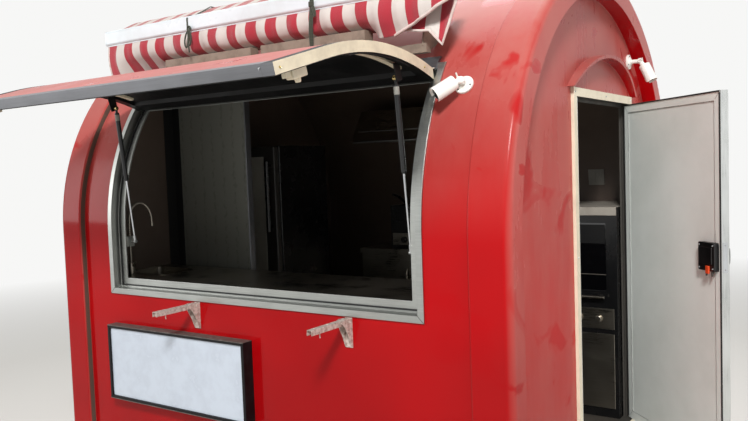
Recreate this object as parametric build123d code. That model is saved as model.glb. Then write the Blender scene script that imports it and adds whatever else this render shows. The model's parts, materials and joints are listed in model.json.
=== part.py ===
from build123d import *
import os
from math import cos, radians, sin, sqrt

# A towed street-food trailer with a half-round roof, in millimetres.
# Origin: on the ground under the middle of the body. +X points to the rear end
# with the door, -Y to the serving side with the hatch, +Z up.

# body
BODY_RADIUS = 1100.0        # outer radius of the half-round roof, and half the body's width
ARCH_Z = 1550.0             # height of the roof's centre line
SKIRT_Z = 420.0             # lower edge of the side walls
BARREL_HALF = 1100.0        # half the length of the plain barrel between the end mouldings
WALL = 40.0                 # sandwich wall
END_BAND = 172.0            # length of each end moulding along X
END_BULGE = 30.0            # how far an end moulding stands out of the barrel
GROOVE = 8.0               # groove between the barrel and an end moulding
GROOVE_DEPTH = 4.0
RING_W = 84.0              # width of the raised ring round an end
RECESS = 72.0               # how deep the end panel lies behind the ring
RING_ROUND = 34.0           # rounding of the ring's outer edge
BROW_RADIUS = 772.0          # raised hood over the door, a slice of an arch
BROW_TOP = 2310.0
BROW_THICK = 16.0
BROW_FOOT_OUT = 30.0        # it stands out less at its feet than at its top
BROW_TOP_OUT = 58.0

# floor and chassis
FLOOR_Z = 450.0             # walking surface
FLOOR_THICK = 20.0
BEAM_W = 40.0               # chassis tubes, width and height
BEAM_H = 80.0
BEAM_INSET = 480.0          # the two long beams, inside the side walls
DRAWBAR_TUBE = 60.0
DRAWBAR_STEP = 120.0        # the drawbar's roots, inside the long beams
DRAWBAR_TIP_Y = 34.0        # middle of each bar at the coupling
CROSS_IN = 12.0             # the cross member ends this far inside the bars' middles
COUPLING_REACH = 1250.0     # ball socket ahead of the barrel
COUPLING_Z = 430.0
BALL_BORE_R = 25.2          # socket for a 50 mm ball
BALL_BORE_DEPTH = 38.0

# wheels
AXLE_X = 80.0
WHEEL_R = 281.0             # 165/70 R13
TYRE_W = 165.0
WHEEL_INSET = 135.0         # middle of each tyre, inside the side wall
RIM_R = 165.0
RIM_W = 134.0
SPINDLE_R = 16.0
AXLE_BACK = 150.0           # axle beam ahead of the hubs
AXLE_TUBE = 60.0
AXLE_GAP = 55.0             # axle beam's end from the wheel housing
SWING_GAP = 40.0            # middle of the swing arms from the wheel housing
SWING_W = 30.0
HUB_R = 32.0
DRUM_R = 96.0
DRUM_IN = 70.0              # drum's back from the tyre's middle
DRUM_THICK = 8.0
SPINDLE_OUT = 44.0
RUNNING = 0.1               # clearance round a spindle or pin
ARCH_CUT_R = 335.0
HOUSING_GAP = 110.0         # from the tyre's middle to the housing's inner face
SHEET = 3.0                 # folded sheet metal

# serving window and hatch
FRAME_HALF = 910.0          # half the window frame's length
FRAME_LOW = 1240.0          # lower edge of the frame
FRAME_RISE = 678.0          # the frame's upper edge above the roof's centre line
FLANGE = 28.0               # visible width of the outer flange
FLANGE_PROUD = 8.0
LINING = 8.0
LIP_BACK = 45.0             # how far the inner lip lies behind the skin
LIP_W = 47.0
HATCH_GAP = 6.0
HATCH_DEPTH = 31.0          # inner face of the hatch behind the skin
HATCH_MEMBER = 48.0         # width of the hatch's edge members
HATCH_SKIN = 22.0
HATCH_OPEN = 74.0           # degrees open in the resting pose
HINGE_OUT = 15.0            # hinge axis outside the skin
HINGE_DROP = 25.0           # hinge axis below the frame's upper edge
HINGE_R = 5.0
STRUT_INSET = 23.0          # struts inside the frame's lip
STRUT_FOOT_IN = 33.0        # rod eye inside the lip
STRUT_FOOT_Z = 1495.0
STRUT_HEAD_OUT = 190.0      # tube eye from the hinge, on the open hatch
STRUT_HEAD_DROP = 45.0
STRUT_TUBE_R = 11.0
STRUT_TUBE_L = 356.0
STRUT_ROD_R = 5.0
STRUT_ROD_L = 368.0
STRUT_EYE_R = 9.0
STRUT_EYE_HALF = 8.0        # half the width of a strut's eye
STUD_R = 4.0                # studs that the struts turn on
STUD_GAP = 0.3              # the rod's eye is left free of its stud, beside it
PLATE_CLEAR = 6.0           # strut plates on the hatch pass this far inside the frame's lip
PLATE_THICK = 5.0

# rear door
DOOR_LEFT = -265.0          # clear opening
DOOR_RIGHT = 535.0
DOOR_TOP = 2103.0
DOOR_FRAME_W = 38.0
DOOR_FRAME_PROUD = 14.0
DOOR_THICK = 38.0
DOOR_GAP = 5.0
DOOR_OPEN = 45.0            # degrees open in the resting pose
DOOR_BORDER = 42.0
DOOR_HINGE_ZS = (761.0, 1281.0, 1801.0)
LOCK_LOW = 1332.0           # lock case on the leaf's inner face
LOCK_H = 123.0
LOCK_W = 114.0
LOCK_D = 26.0
LOCK_IN = 16.0              # from the leaf's free edge
KNUCKLE_L = 45.0
KNUCKLE_R = 6.0
KNUCKLE_GAP = 0.3

# folded awning over the hatch, placed from the hatch's hinge
AWNING_HALF = 1008.0
BAR_OUT = 51.0              # front bar, middle
BAR_RISE = 326.0
BAR_D = 60.0
BAR_H = 74.0
ROLL_IN = 92.0              # rolled cloth
ROLL_RISE = 375.0
ROLL_R = 50.0
ROLLER_R = 30.0
TORSION_IN = 20.0           # square tube that the arms hang on
TORSION_RISE = 85.0
TORSION = 36.0
CLOTH_GAP = 0.3             # soft parts lie this far from what carries them
ARM_TOP_RISE = 177.0        # the slack cloth lies on the folded arms
ARM_H = 70.0
ARM_D = 36.0
ARM_REACH = 590.0           # shoulder ends of the folded arms
ARM_INNER = 30.0            # elbow ends
FORE_D = 20.0               # forearm's thickness and height
FORE_H = 40.0
FORE_GAP = 4.0
VALANCE_FOOT_RISE = 59.0    # how low the cloth hangs beyond the arms' ends
TIE_XS = (-400.0, 345.0)
TIE_W = 32.0
TIE_THICK = 3.0

# fittings outside
SIGN_LEFT = -890.0
SIGN_RIGHT = 30.0
SIGN_LOW = 722.0
SIGN_HIGH = 1090.0
SIGN_DEPTH = 58.0
SIGN_EDGE = 15.0
SHELF_XS = (-300.0, 560.0)  # folding shelf arms
SHELF_ARM = 232.0
SHELF_PIN_OUT = 20.0
SHELF_PIN_DROP = 18.0
CAMERA_BODY_R = 29.0
CAMERA_BODY_L = 88.0
CAMERA_NECK_SIDE = 34.0
CAMERA_NECK_REAR = 62.0
CAMERA_FOOT = 61.0          # rear camera's middle inside the ring's step
CAMERA_SHARE = 0.579        # side camera's place from the window frame to the barrel's end
LAMP_R = 34.0
LAMP_ZS = (640.0, 740.0)

# fittings inside
COUNTER_Z = 1300.0          # worktops
COUNTER_THICK = 30.0
COUNTER_FRONT = -520.0      # walkway edge of the serving counter
COUNTER_BACK = 520.0        # walkway edge of the back counter
COUNTER_PANEL = 20.0
COUNTER_NOSE = 24.0         # worktop over its front panel
SINK_HALF_X = 146.0
SINK_HALF_Y = 116.0
SINK_DEPTH = 147.0
SINK_FROM_END = 200.0       # middle of the bowl from the end wall
PARTITION_Y = -430.0        # thin partition beside the sink
PARTITION_W = 574.0
PARTITION_TOP = 2300.0
PARTITION_THICK = 40.0
FRIDGE_W = 482.0
FRIDGE_D = 500.0
FRIDGE_Y = -100.0
FRIDGE_TOP = 1970.0
HOOD_LOW = 1985.0
HOOD_HIGH = 2180.0
HOOD_LEFT = -500.0
HOOD_RIGHT = 600.0
OVEN_W = 516.0
OVEN_TOP = 1573.0
OVEN_SLAB = 44.0
FRYER_LEFT = -300.0
FRYER_W = 360.0
FRYER_H = 275.0

INNER_R = BODY_RADIUS - WALL
RING_INNER = BODY_RADIUS - RING_W
BEAM_Y = BODY_RADIUS - BEAM_INSET
DRAWBAR_ROOT_Y = BEAM_Y - DRAWBAR_STEP
COUPLING_X = -BARREL_HALF - COUPLING_REACH
WHEEL_Y = BODY_RADIUS - WHEEL_INSET
HOUSING_Y = WHEEL_Y - HOUSING_GAP
FRAME_TOP = ARCH_Z + FRAME_RISE
HINGE_Z = FRAME_TOP - HINGE_DROP
PANEL_X = BARREL_HALF + END_BAND - RECESS   # outer face of the recessed end panels
RING_X = BARREL_HALF + END_BAND             # face of the raised ring
INNER_X = PANEL_X - WALL                    # inner face of the end panels


def span(x, y, z):
    """A block from low and high values along each axis."""
    size = [high - low for low, high in (x, y, z)]
    middle = [(high + low) / 2 for low, high in (x, y, z)]
    return Pos(*middle) * Box(*size)


def arch(radius, low):
    """Outline of the body: half round above two upright sides, drawn in Y and Z."""
    outline = Line((-radius, low), (radius, low))
    outline += Line((radius, low), (radius, ARCH_Z))
    outline += CenterArc((0, ARCH_Z), radius, 0, 180)
    outline += Line((-radius, ARCH_Z), (-radius, low))
    return make_face(outline)


def arch_solid(radius, x_low, x_high, low=SKIRT_Z):
    return extrude(Plane.YZ.offset(x_low) * arch(radius, low), x_high - x_low)


def arch_shell(outer, inner, x_low, x_high, low=SKIRT_Z):
    return arch_solid(outer, x_low, x_high, low) - arch_solid(inner, x_low - 1, x_high + 1, low - 1)


def rod(start, end, radius):
    """A round bar between two points."""
    start = Vector(*start)
    axis = Vector(*end) - start
    bar = Cylinder(radius, axis.length, align=(Align.CENTER, Align.CENTER, Align.MIN))
    return Plane(origin=start, z_dir=axis) * bar


def tube(start, end, outer, inner):
    return rod(start, end, outer) - rod(start, end, inner)


def beam(start, end, width, height):
    """A square bar between two points, its height upright."""
    start = Vector(*start)
    axis = Vector(*end) - start
    side = axis.cross(Vector(0, 0, 1))
    bar = Box(width, height, axis.length, align=(Align.CENTER, Align.CENTER, Align.MIN))
    return Plane(origin=start, x_dir=side, z_dir=axis) * bar


def mirrored_y(shape):
    return shape + mirror(shape, Plane.XZ)


def y_disc(x, z, radius, y_low, y_high):
    return rod((x, y_low, z), (x, y_high, z), radius)


def skin_y(z, out=0.0):
    """Where the serving side's skin lies at a height, and how far outside it."""
    radius = BODY_RADIUS + out
    return -radius if z <= ARCH_Z else -sqrt(radius ** 2 - (z - ARCH_Z) ** 2)


HINGE_Y = skin_y(HINGE_Z, HINGE_OUT)
STRUT_X = FRAME_HALF - FLANGE - LIP_W - STRUT_INSET
STRUT_FOOT = (skin_y(STRUT_FOOT_Z, -LIP_BACK) + STRUT_FOOT_IN, STRUT_FOOT_Z)
STRUT_HEAD_OPEN = (HINGE_Y - STRUT_HEAD_OUT, HINGE_Z - STRUT_HEAD_DROP)
BAR_Y = HINGE_Y - BAR_OUT
BAR_Z = HINGE_Z + BAR_RISE
BAR_LOW = BAR_Z - BAR_H / 2
ROLL_Y = HINGE_Y + ROLL_IN
ROLL_Z = HINGE_Z + ROLL_RISE
TORSION_Y = HINGE_Y + TORSION_IN
TORSION_Z = HINGE_Z + TORSION_RISE
ARM_TOP = HINGE_Z + ARM_TOP_RISE
ARM_Y = BAR_Y + 11.0


# body shell
def make_barrel():
    shell = arch_shell(BODY_RADIUS, INNER_R, -BARREL_HALF, BARREL_HALF)
    cut = FRAME_HALF - FLANGE + LINING
    z_pair = (FRAME_LOW + FLANGE - LINING, FRAME_TOP - FLANGE + LINING)
    shell -= span((-cut, cut), (-BODY_RADIUS - 1, -400), z_pair)
    shell -= y_disc(AXLE_X, WHEEL_R, ARCH_CUT_R, -BODY_RADIUS - 1, BODY_RADIUS + 1)
    return shell


def make_brow():
    """The hood over the door: its lip leans out towards the top."""
    foot = DOOR_TOP + DOOR_FRAME_W
    inside = PANEL_X - 2
    lip = ((PANEL_X + BROW_FOOT_OUT, foot), (PANEL_X + BROW_TOP_OUT, BROW_TOP))
    profile = make_face(Polyline((inside, foot), *lip, (inside, BROW_TOP), close=True))
    wedge = extrude(Plane.XZ * profile, BROW_RADIUS, both=True)
    ring = Circle(BROW_RADIUS) - Circle(BROW_RADIUS - BROW_THICK)
    ring = extrude(Plane.YZ.offset(inside - 1) * ring, BROW_TOP_OUT + 4)
    brow = Pos(0, 0, BROW_TOP - BROW_RADIUS) * ring & wedge
    return Pos(0, (DOOR_LEFT + DOOR_RIGHT) / 2, 0) * brow


def make_end(has_door):
    """One moulded end: groove, bulging band, raised ring and recessed panel, at +X."""
    band_radius = BODY_RADIUS + END_BULGE
    band = arch_solid(band_radius, BARREL_HALF + GROOVE, RING_X)
    face_edges = band.edges().group_by(Axis.X)[-1]
    outer_edges = face_edges.filter_by(lambda edge: edge.center().Z > SKIRT_Z + 1)
    band = fillet(outer_edges, RING_ROUND)
    inner_edges = band.edges().group_by(Axis.X)[0].filter_by(lambda edge: edge.center().Z > SKIRT_Z + 1)
    band = fillet(inner_edges, 8.0)
    band += arch_solid(BODY_RADIUS - GROOVE_DEPTH, BARREL_HALF, BARREL_HALF + GROOVE + 1)
    band -= arch_solid(INNER_R, BARREL_HALF - 1, INNER_X, SKIRT_Z - 1)
    band -= arch_solid(RING_INNER, PANEL_X, RING_X + 1, SKIRT_Z - 1)
    if has_door:
        band += make_brow()
        cut_low = FLOOR_Z - FLOOR_THICK
        left = DOOR_LEFT - DOOR_FRAME_W / 2
        right = DOOR_RIGHT + DOOR_FRAME_W / 2
        band -= span((INNER_X - 1, PANEL_X + 1), (left, right), (cut_low, DOOR_TOP + DOOR_FRAME_W / 2))
    return band


def make_floor():
    floor = span((-INNER_X, INNER_X), (-INNER_R, INNER_R), (FLOOR_Z - FLOOR_THICK, FLOOR_Z))
    for side in (-1, 1):
        floor -= y_disc(AXLE_X, WHEEL_R, ARCH_CUT_R, side * HOUSING_Y, side * (INNER_R + 1))
    return floor


def make_housings():
    """Sheet boxes over the wheels, with a lip round each opening in the side."""
    inner = ARCH_CUT_R - SHEET
    housing = y_disc(AXLE_X, WHEEL_R, ARCH_CUT_R, HOUSING_Y, BODY_RADIUS + 6)
    housing -= y_disc(AXLE_X, WHEEL_R, inner, HOUSING_Y + SHEET, BODY_RADIUS + 7)
    lip = y_disc(AXLE_X, WHEEL_R, ARCH_CUT_R + 24, BODY_RADIUS, BODY_RADIUS + 6)
    lip -= y_disc(AXLE_X, WHEEL_R, inner, BODY_RADIUS - 1, BODY_RADIUS + 7)
    housing += lip
    reach = ARCH_CUT_R + 60
    top = WHEEL_R + reach
    x_pair = (AXLE_X - reach, AXLE_X + reach)
    return mirrored_y(housing & span(x_pair, (0, BODY_RADIUS + 20), (FLOOR_Z - FLOOR_THICK, top)))


# chassis
BEAM_LOW = FLOOR_Z - FLOOR_THICK - BEAM_H
BEAM_MID = FLOOR_Z - FLOOR_THICK - BEAM_H / 2
END_BEAM_X = BARREL_HALF - BEAM_W / 2
LEG_X = END_BEAM_X - 80.0
LEG_Y = BODY_RADIUS - 300.0
LEG_PIVOT_Z = BEAM_LOW - 40.0
LEG_W = 50.0
LEG_PIN_R = 8.0
CHEEK_GAP = 5.0
CHEEK_THICK = 6.0


def make_chassis():
    top = FLOOR_Z - FLOOR_THICK
    half = BEAM_W / 2
    long_beam = span((-END_BEAM_X, END_BEAM_X), (BEAM_Y - half, BEAM_Y + half), (BEAM_LOW, top))
    frame = mirrored_y(long_beam)
    wide = BODY_RADIUS - 60
    narrow = HOUSING_Y - 25
    # cross members: place along X, reach to each side
    members = ((-END_BEAM_X, wide), (-520, wide), (AXLE_X, narrow), (560, wide), (END_BEAM_X, wide))
    for x, reach in members:
        frame += span((x - half, x + half), (-reach, reach), (BEAM_LOW, top))
    return frame


def make_leg_brackets():
    """Two cheeks for each prop stand's pivot, on the end beams."""
    plates = None
    for end in (-1, 1):
        x_pair = sorted((end * (LEG_X - 26), end * (END_BEAM_X - BEAM_W / 2)))
        for side in (-1, 1):
            for cheek in (-1, 1):
                y = side * LEG_Y + cheek * (LEG_W / 2 + CHEEK_GAP + CHEEK_THICK / 2)
                half = CHEEK_THICK / 2
                plate = span(x_pair, (y - half, y + half), (LEG_PIVOT_Z - 26, FLOOR_Z - FLOOR_THICK))
                plate -= y_disc(end * LEG_X, LEG_PIVOT_Z, LEG_PIN_R + RUNNING, y - half - 1, y + half + 1)
                plates = plate if plates is None else plates + plate
    return plates


def make_drawbar():
    root_x = -END_BEAM_X + BEAM_W / 2
    tip_x = COUPLING_X + 130
    z = BEAM_MID
    bar = beam((root_x, DRAWBAR_ROOT_Y, z), (tip_x, DRAWBAR_TIP_Y, z), DRAWBAR_TUBE, DRAWBAR_TUBE)
    bars = mirrored_y(bar)
    bars += span((tip_x - 10, tip_x + 160), (-64, 64), (z - 30, z + 34))
    cross_x = JOCKEY_X + 190
    share = (cross_x - tip_x) / (root_x - tip_x)
    cross_y = DRAWBAR_TIP_Y + share * (DRAWBAR_ROOT_Y - DRAWBAR_TIP_Y) - CROSS_IN
    half = DRAWBAR_TUBE / 2
    bars += span((cross_x - 20, cross_x + 20), (-cross_y, cross_y), (z - half, z + half))
    # the beams' roots are cut off square against the first cross member
    return bars - span((-END_BEAM_X - BEAM_W / 2, -END_BEAM_X + 400), (-700, 700), (BEAM_LOW - 60, FLOOR_Z))


def make_coupling():
    """Cast head over the ball, open below, with a grip on top."""
    z = COUPLING_Z
    head = Pos(COUPLING_X, 0, z) * Cylinder(40, 44)
    head = fillet(head.edges().group_by(Axis.Z)[-1], 16.0)
    head += span((COUPLING_X, COUPLING_X + 122), (-28, 28), (z - 22, z + 22))
    head += rod((COUPLING_X + 10, 0, z + 18), (COUPLING_X + 120, 0, z + 74), 10)
    head -= Pos(COUPLING_X, 0, z - 22) * Cylinder(BALL_BORE_R, BALL_BORE_DEPTH * 2)
    return head


# jockey wheel
JOCKEY_X = COUPLING_X + 360.0
JOCKEY_R = 100.0
JOCKEY_W = 55.0
JOCKEY_TRAIL = 45.0
JOCKEY_TUBE_R = 24.0
JOCKEY_TUBE_LOW = 352.0
JOCKEY_TUBE_TOP = 790.0     # underside of the tube's cap
JOCKEY_CAP = 16.0
JOCKEY_NECK = 34.0          # the crank's shaft above the cap
JOCKEY_LEG_R = 20.0
CRANK_REACH = 114.0
CRANK_GRIP = 90.0


def make_jockey_tube():
    low = JOCKEY_TUBE_LOW
    top = JOCKEY_TUBE_TOP
    cap = top + JOCKEY_CAP
    crank_z = cap + JOCKEY_NECK
    grip_x = JOCKEY_X - CRANK_REACH
    outer = rod((JOCKEY_X, 0, low), (JOCKEY_X, 0, cap - 6), JOCKEY_TUBE_R)
    outer += span((JOCKEY_X - 9, JOCKEY_X + 9), (-110, 110), (BEAM_MID - 28, BEAM_MID + 28))
    outer -= rod((JOCKEY_X, 0, low - 1), (JOCKEY_X, 0, top), JOCKEY_LEG_R + 0.5)
    outer += rod((JOCKEY_X, 0, top), (JOCKEY_X, 0, cap), JOCKEY_TUBE_R + 3)
    outer += rod((JOCKEY_X, 0, cap), (JOCKEY_X, 0, crank_z), 7)
    outer += beam((JOCKEY_X, 0, crank_z), (grip_x - 6, 0, crank_z), 14, 10)
    outer += rod((grip_x, 0, crank_z), (grip_x, 0, crank_z + CRANK_GRIP), 12)
    return outer - drawbar


def make_jockey_leg():
    leg = rod((JOCKEY_X, 0, 250), (JOCKEY_X, 0, 640), JOCKEY_LEG_R)
    leg += rod((JOCKEY_X, 0, 250), (JOCKEY_X, 0, 262), 30)
    leg += rod((JOCKEY_X, 0, 228), (JOCKEY_X, 0, 250), 10)
    return leg


def make_jockey_fork():
    axle_x = JOCKEY_X + JOCKEY_TRAIL
    half = JOCKEY_W / 2
    crown = span((JOCKEY_X - 32, axle_x + 16), (-half - 11, half + 11), (222, 244))
    fork = crown
    for side in (-1, 1):
        y = side * (half + 8)
        plate = span((axle_x - 18, axle_x + 18), (y - 3, y + 3), (JOCKEY_R - 18, 230))
        fork += plate
    fork += y_disc(axle_x, JOCKEY_R, 8, -half - 14, half + 14)
    fork += rod((JOCKEY_X, 0, 244), (JOCKEY_X, 0, 249.5), 26)
    return fork - rod((JOCKEY_X, 0, 220), (JOCKEY_X, 0, 251), 10 + RUNNING)


def make_jockey_wheel():
    axle_x = JOCKEY_X + JOCKEY_TRAIL
    half = JOCKEY_W / 2
    wheel = y_disc(axle_x, JOCKEY_R, JOCKEY_R, -half, half)
    wheel = fillet(wheel.edges().filter_by(GeomType.CIRCLE), 12.0)
    for side in (-1, 1):
        wheel -= y_disc(axle_x, JOCKEY_R, 58, side * 14, side * (half + 1))
    wheel += y_disc(axle_x, JOCKEY_R, 20, -half, half)
    return wheel - y_disc(axle_x, JOCKEY_R, 8 + RUNNING, -half - 2, half + 2)


def make_axle():
    beam_x = AXLE_X - AXLE_BACK
    half = AXLE_TUBE / 2
    z = BEAM_LOW - half
    end = HOUSING_Y - AXLE_GAP
    axle = span((beam_x - half, beam_x + half), (-end, end), (z - half, z + half))
    arm_y = HOUSING_Y - SWING_GAP
    arm_ys = (arm_y - SWING_W / 2, arm_y + SWING_W / 2)
    drum_y = WHEEL_Y - DRUM_IN
    arm = beam((beam_x, arm_y, z), (AXLE_X, arm_y, WHEEL_R), SWING_W, AXLE_TUBE - 4)
    arm += y_disc(AXLE_X, WHEEL_R, HUB_R, arm_ys[0], drum_y)
    arm += y_disc(AXLE_X, WHEEL_R, DRUM_R, drum_y, drum_y + DRUM_THICK)
    arm += y_disc(beam_x, z, HUB_R + 2, arm_ys[0] - 5, arm_ys[1])
    arm += y_disc(AXLE_X, WHEEL_R, SPINDLE_R, arm_ys[1], WHEEL_Y + SPINDLE_OUT)
    return axle + mirrored_y(arm)


def make_rim():
    """Pressed steel wheel bolted to its drum, at the +Y side."""
    low = WHEEL_Y - RIM_W / 2
    high = WHEEL_Y + RIM_W / 2
    # turned parts: radius, start and end across the wheel
    rim = y_disc(AXLE_X, WHEEL_R, RIM_R, low, high)
    for start, end in ((low - 5, low), (high, high + 5)):
        rim += y_disc(AXLE_X, WHEEL_R, RIM_R + 12, start, end)
    rim -= y_disc(AXLE_X, WHEEL_R, RIM_R - 7, low - 6, WHEEL_Y + 22)
    rim -= y_disc(AXLE_X, WHEEL_R, RIM_R - 7, WHEEL_Y + 28, high + 6)
    for step in range(8):
        angle = radians(45 * step)
        x = AXLE_X + 122 * cos(angle)
        z = WHEEL_R + 122 * sin(angle)
        rim -= y_disc(x, z, 15, WHEEL_Y, WHEEL_Y + 40)
    rim += y_disc(AXLE_X, WHEEL_R, 92, WHEEL_Y - 56, WHEEL_Y + 24)
    rim += y_disc(AXLE_X, WHEEL_R, 34, WHEEL_Y + 20, WHEEL_Y + 52)
    return rim - y_disc(AXLE_X, WHEEL_R, SPINDLE_R + RUNNING, WHEEL_Y - 60, WHEEL_Y + 46)


def make_tyre():
    half = TYRE_W / 2
    tyre = y_disc(AXLE_X, WHEEL_R, WHEEL_R, WHEEL_Y - half, WHEEL_Y + half)
    tyre = fillet(tyre.edges().filter_by(GeomType.CIRCLE), 38.0)
    tyre -= y_disc(AXLE_X, WHEEL_R, RIM_R, WHEEL_Y - half - 1, WHEEL_Y + half + 1)
    for side in (-1, 1):
        start = WHEEL_Y + side * RIM_W / 2
        tyre -= y_disc(AXLE_X, WHEEL_R, RIM_R + 12, start, WHEEL_Y + side * (half + 1))
    return tyre


def make_leg(end, side):
    """A prop stand that folds up under the floor, with a pad and a pivot pin."""
    x = end * LEG_X
    y = side * LEG_Y
    half = LEG_W / 2
    leg = span((x - half, x + half), (y - half, y + half), (8, LEG_PIVOT_Z))
    leg += y_disc(x, LEG_PIVOT_Z, half, y - half, y + half)
    leg += span((x - 42, x + 42), (y - 60, y + 60), (0, 8))
    leg += y_disc(x, LEG_PIVOT_Z, LEG_PIN_R, y - half - 14, y + half + 14)
    return leg


# serving window
def make_window_frame():
    """Flange on the skin, lining through the wall and an inner lip the hatch closes on."""
    out = BODY_RADIUS + FLANGE_PROUD
    back = BODY_RADIUS - LIP_BACK
    flange_in = FRAME_HALF - FLANGE
    low_in = FRAME_LOW + FLANGE
    top_in = FRAME_TOP - FLANGE
    y_pair = (-out - 1, -500)
    flange = arch_shell(out, BODY_RADIUS, -FRAME_HALF, FRAME_HALF)
    flange &= span((-FRAME_HALF, FRAME_HALF), y_pair, (FRAME_LOW, FRAME_TOP))
    lining = arch_shell(out, back, -FRAME_HALF, FRAME_HALF)
    reach = flange_in + LINING
    lining &= span((-reach, reach), y_pair, (low_in - LINING, top_in + LINING))
    frame = flange + lining
    frame -= span((-flange_in, flange_in), y_pair, (low_in, top_in))
    lip = arch_shell(back + LINING, back, -reach, reach)
    lip &= span((-reach, reach), y_pair, (low_in - LINING, top_in + LINING))
    lip_in = flange_in - LIP_W
    lip -= span((-lip_in, lip_in), y_pair, (low_in + LIP_W, top_in - LIP_W))
    frame += lip
    foot_y, foot_z = STRUT_FOOT
    for side in (-1, 1):
        # a bracket and stud for each strut's rod eye
        x_pair = sorted((side * (lip_in + 6), side * lip_in))
        frame += span(x_pair, (skin_y(foot_z, -LIP_BACK) - 2, foot_y + 14), (foot_z - 26, foot_z + 26))
        socket_x = STRUT_X + STRUT_EYE_HALF + STUD_GAP
        frame += rod((side * lip_in, foot_y, foot_z), (side * socket_x, foot_y, foot_z), STUD_R)
    return frame


HATCH_HALF = FRAME_HALF - FLANGE - HATCH_GAP
HATCH_LOW = FRAME_LOW + FLANGE + HATCH_GAP
HATCH_TOP = FRAME_TOP - FLANGE - 17.0


def opened(shape):
    """From the closed hatch to its resting, open place."""
    return shape.rotate(Axis((0, HINGE_Y, HINGE_Z), (1, 0, 0)), -HATCH_OPEN)


def hatch_band(outer, inner, x_half, z_low, z_high):
    band = arch_shell(BODY_RADIUS + outer, BODY_RADIUS - inner, -x_half, x_half)
    return band & span((-x_half, x_half), (-BODY_RADIUS - 20, -500), (z_low, z_high))


def strut_head():
    """The tube eye's place on the closed hatch, Y and Z."""
    angle = radians(HATCH_OPEN)
    dy = STRUT_HEAD_OPEN[0] - HINGE_Y
    dz = STRUT_HEAD_OPEN[1] - HINGE_Z
    return (HINGE_Y + dy * cos(angle) - dz * sin(angle), HINGE_Z + dy * sin(angle) + dz * cos(angle))


def make_hatch_panel():
    inside = HATCH_HALF - HATCH_MEMBER
    z_low = HATCH_LOW + HATCH_MEMBER
    z_high = HATCH_TOP - HATCH_MEMBER
    return hatch_band(FLANGE_PROUD - 1, HATCH_SKIN - FLANGE_PROUD, inside, z_low, z_high)


def make_hatch_frame():
    """Two curved end bands and the top member, with the strut plates and the hinge leaf."""
    inside = HATCH_HALF - HATCH_MEMBER
    frame = hatch_band(FLANGE_PROUD, HATCH_DEPTH, HATCH_HALF, HATCH_LOW, HATCH_TOP)
    frame -= hatch_band(FLANGE_PROUD + 1, HATCH_DEPTH + 1, inside, HATCH_LOW - 1, HATCH_TOP - HATCH_MEMBER)
    leaf_top = HINGE_Z - HINGE_R - 0.5
    frame += span((-HATCH_HALF, HATCH_HALF), (HINGE_Y - 4, HINGE_Y - 0.5), (HATCH_TOP - 10, leaf_top))
    head_y, head_z = strut_head()
    for side in (-1, 1):
        plate_x = side * (FRAME_HALF - FLANGE - LIP_W - PLATE_CLEAR)
        x_pair = sorted((plate_x, plate_x - side * PLATE_THICK))
        plate = span(x_pair, (skin_y(head_z, -HATCH_DEPTH) - 4, head_y + 12), (head_z - 20, head_z + 20))
        frame += plate
        stud_end = side * (STRUT_X - STRUT_EYE_HALF - 1)
        frame += rod((plate_x, head_y, head_z), (stud_end, head_y, head_z), STUD_R)
    return frame


def make_hatch_rail():
    inside = HATCH_HALF - HATCH_MEMBER
    return hatch_band(FLANGE_PROUD, HATCH_DEPTH, inside, HATCH_LOW, HATCH_LOW + HATCH_MEMBER)


def make_hinge_rail():
    rail = rod((-HATCH_HALF, HINGE_Y, HINGE_Z), (HATCH_HALF, HINGE_Y, HINGE_Z), HINGE_R)
    top = FRAME_TOP + 26
    leaf = arch_shell(BODY_RADIUS + 12, BODY_RADIUS + FLANGE_PROUD, -HATCH_HALF, HATCH_HALF)
    leaf &= span((-HATCH_HALF, HATCH_HALF), (-BODY_RADIUS, -500), (HINGE_Z, FRAME_TOP))
    cap = arch_shell(BODY_RADIUS + 12, BODY_RADIUS, -HATCH_HALF, HATCH_HALF)
    cap &= span((-HATCH_HALF, HATCH_HALF), (-BODY_RADIUS, -500), (FRAME_TOP, top))
    return rail + leaf + cap


def make_strut_tube(side):
    head = (side * STRUT_X, *STRUT_HEAD_OPEN)
    foot = (side * STRUT_X, *STRUT_FOOT)
    axis = (Vector(*foot) - Vector(*head)).normalized()
    end = Vector(*head) + axis * STRUT_TUBE_L
    start = Vector(*head) + axis * 8
    body = rod(tuple(start), tuple(end), STRUT_TUBE_R)
    eye = STRUT_EYE_HALF
    body += rod((head[0] - eye, head[1], head[2]), (head[0] + eye, head[1], head[2]), STRUT_EYE_R)
    body -= rod(tuple(Vector(*head) + axis * 40), tuple(end + axis), STRUT_ROD_R + 0.5)
    bore = STRUT_EYE_HALF + 1
    hole = rod((head[0] - bore, head[1], head[2]), (head[0] + bore, head[1], head[2]), STUD_R + RUNNING)
    return body - hole


def make_strut_rod(side):
    head = (side * STRUT_X, *STRUT_HEAD_OPEN)
    foot = (side * STRUT_X, *STRUT_FOOT)
    axis = (Vector(*head) - Vector(*foot)).normalized()
    body = rod(tuple(Vector(*foot) + axis * 6), tuple(Vector(*foot) + axis * STRUT_ROD_L), STRUT_ROD_R)
    eye = STRUT_EYE_HALF
    return body + rod((foot[0] - eye, foot[1], foot[2]), (foot[0] + eye, foot[1], foot[2]), STRUT_EYE_R)


# rear door
DOOR_PIN_X = PANEL_X + DOOR_FRAME_PROUD + 8
DOOR_PIN_Y = DOOR_RIGHT + 2
DOOR_LOW = FLOOR_Z + 12


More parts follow.
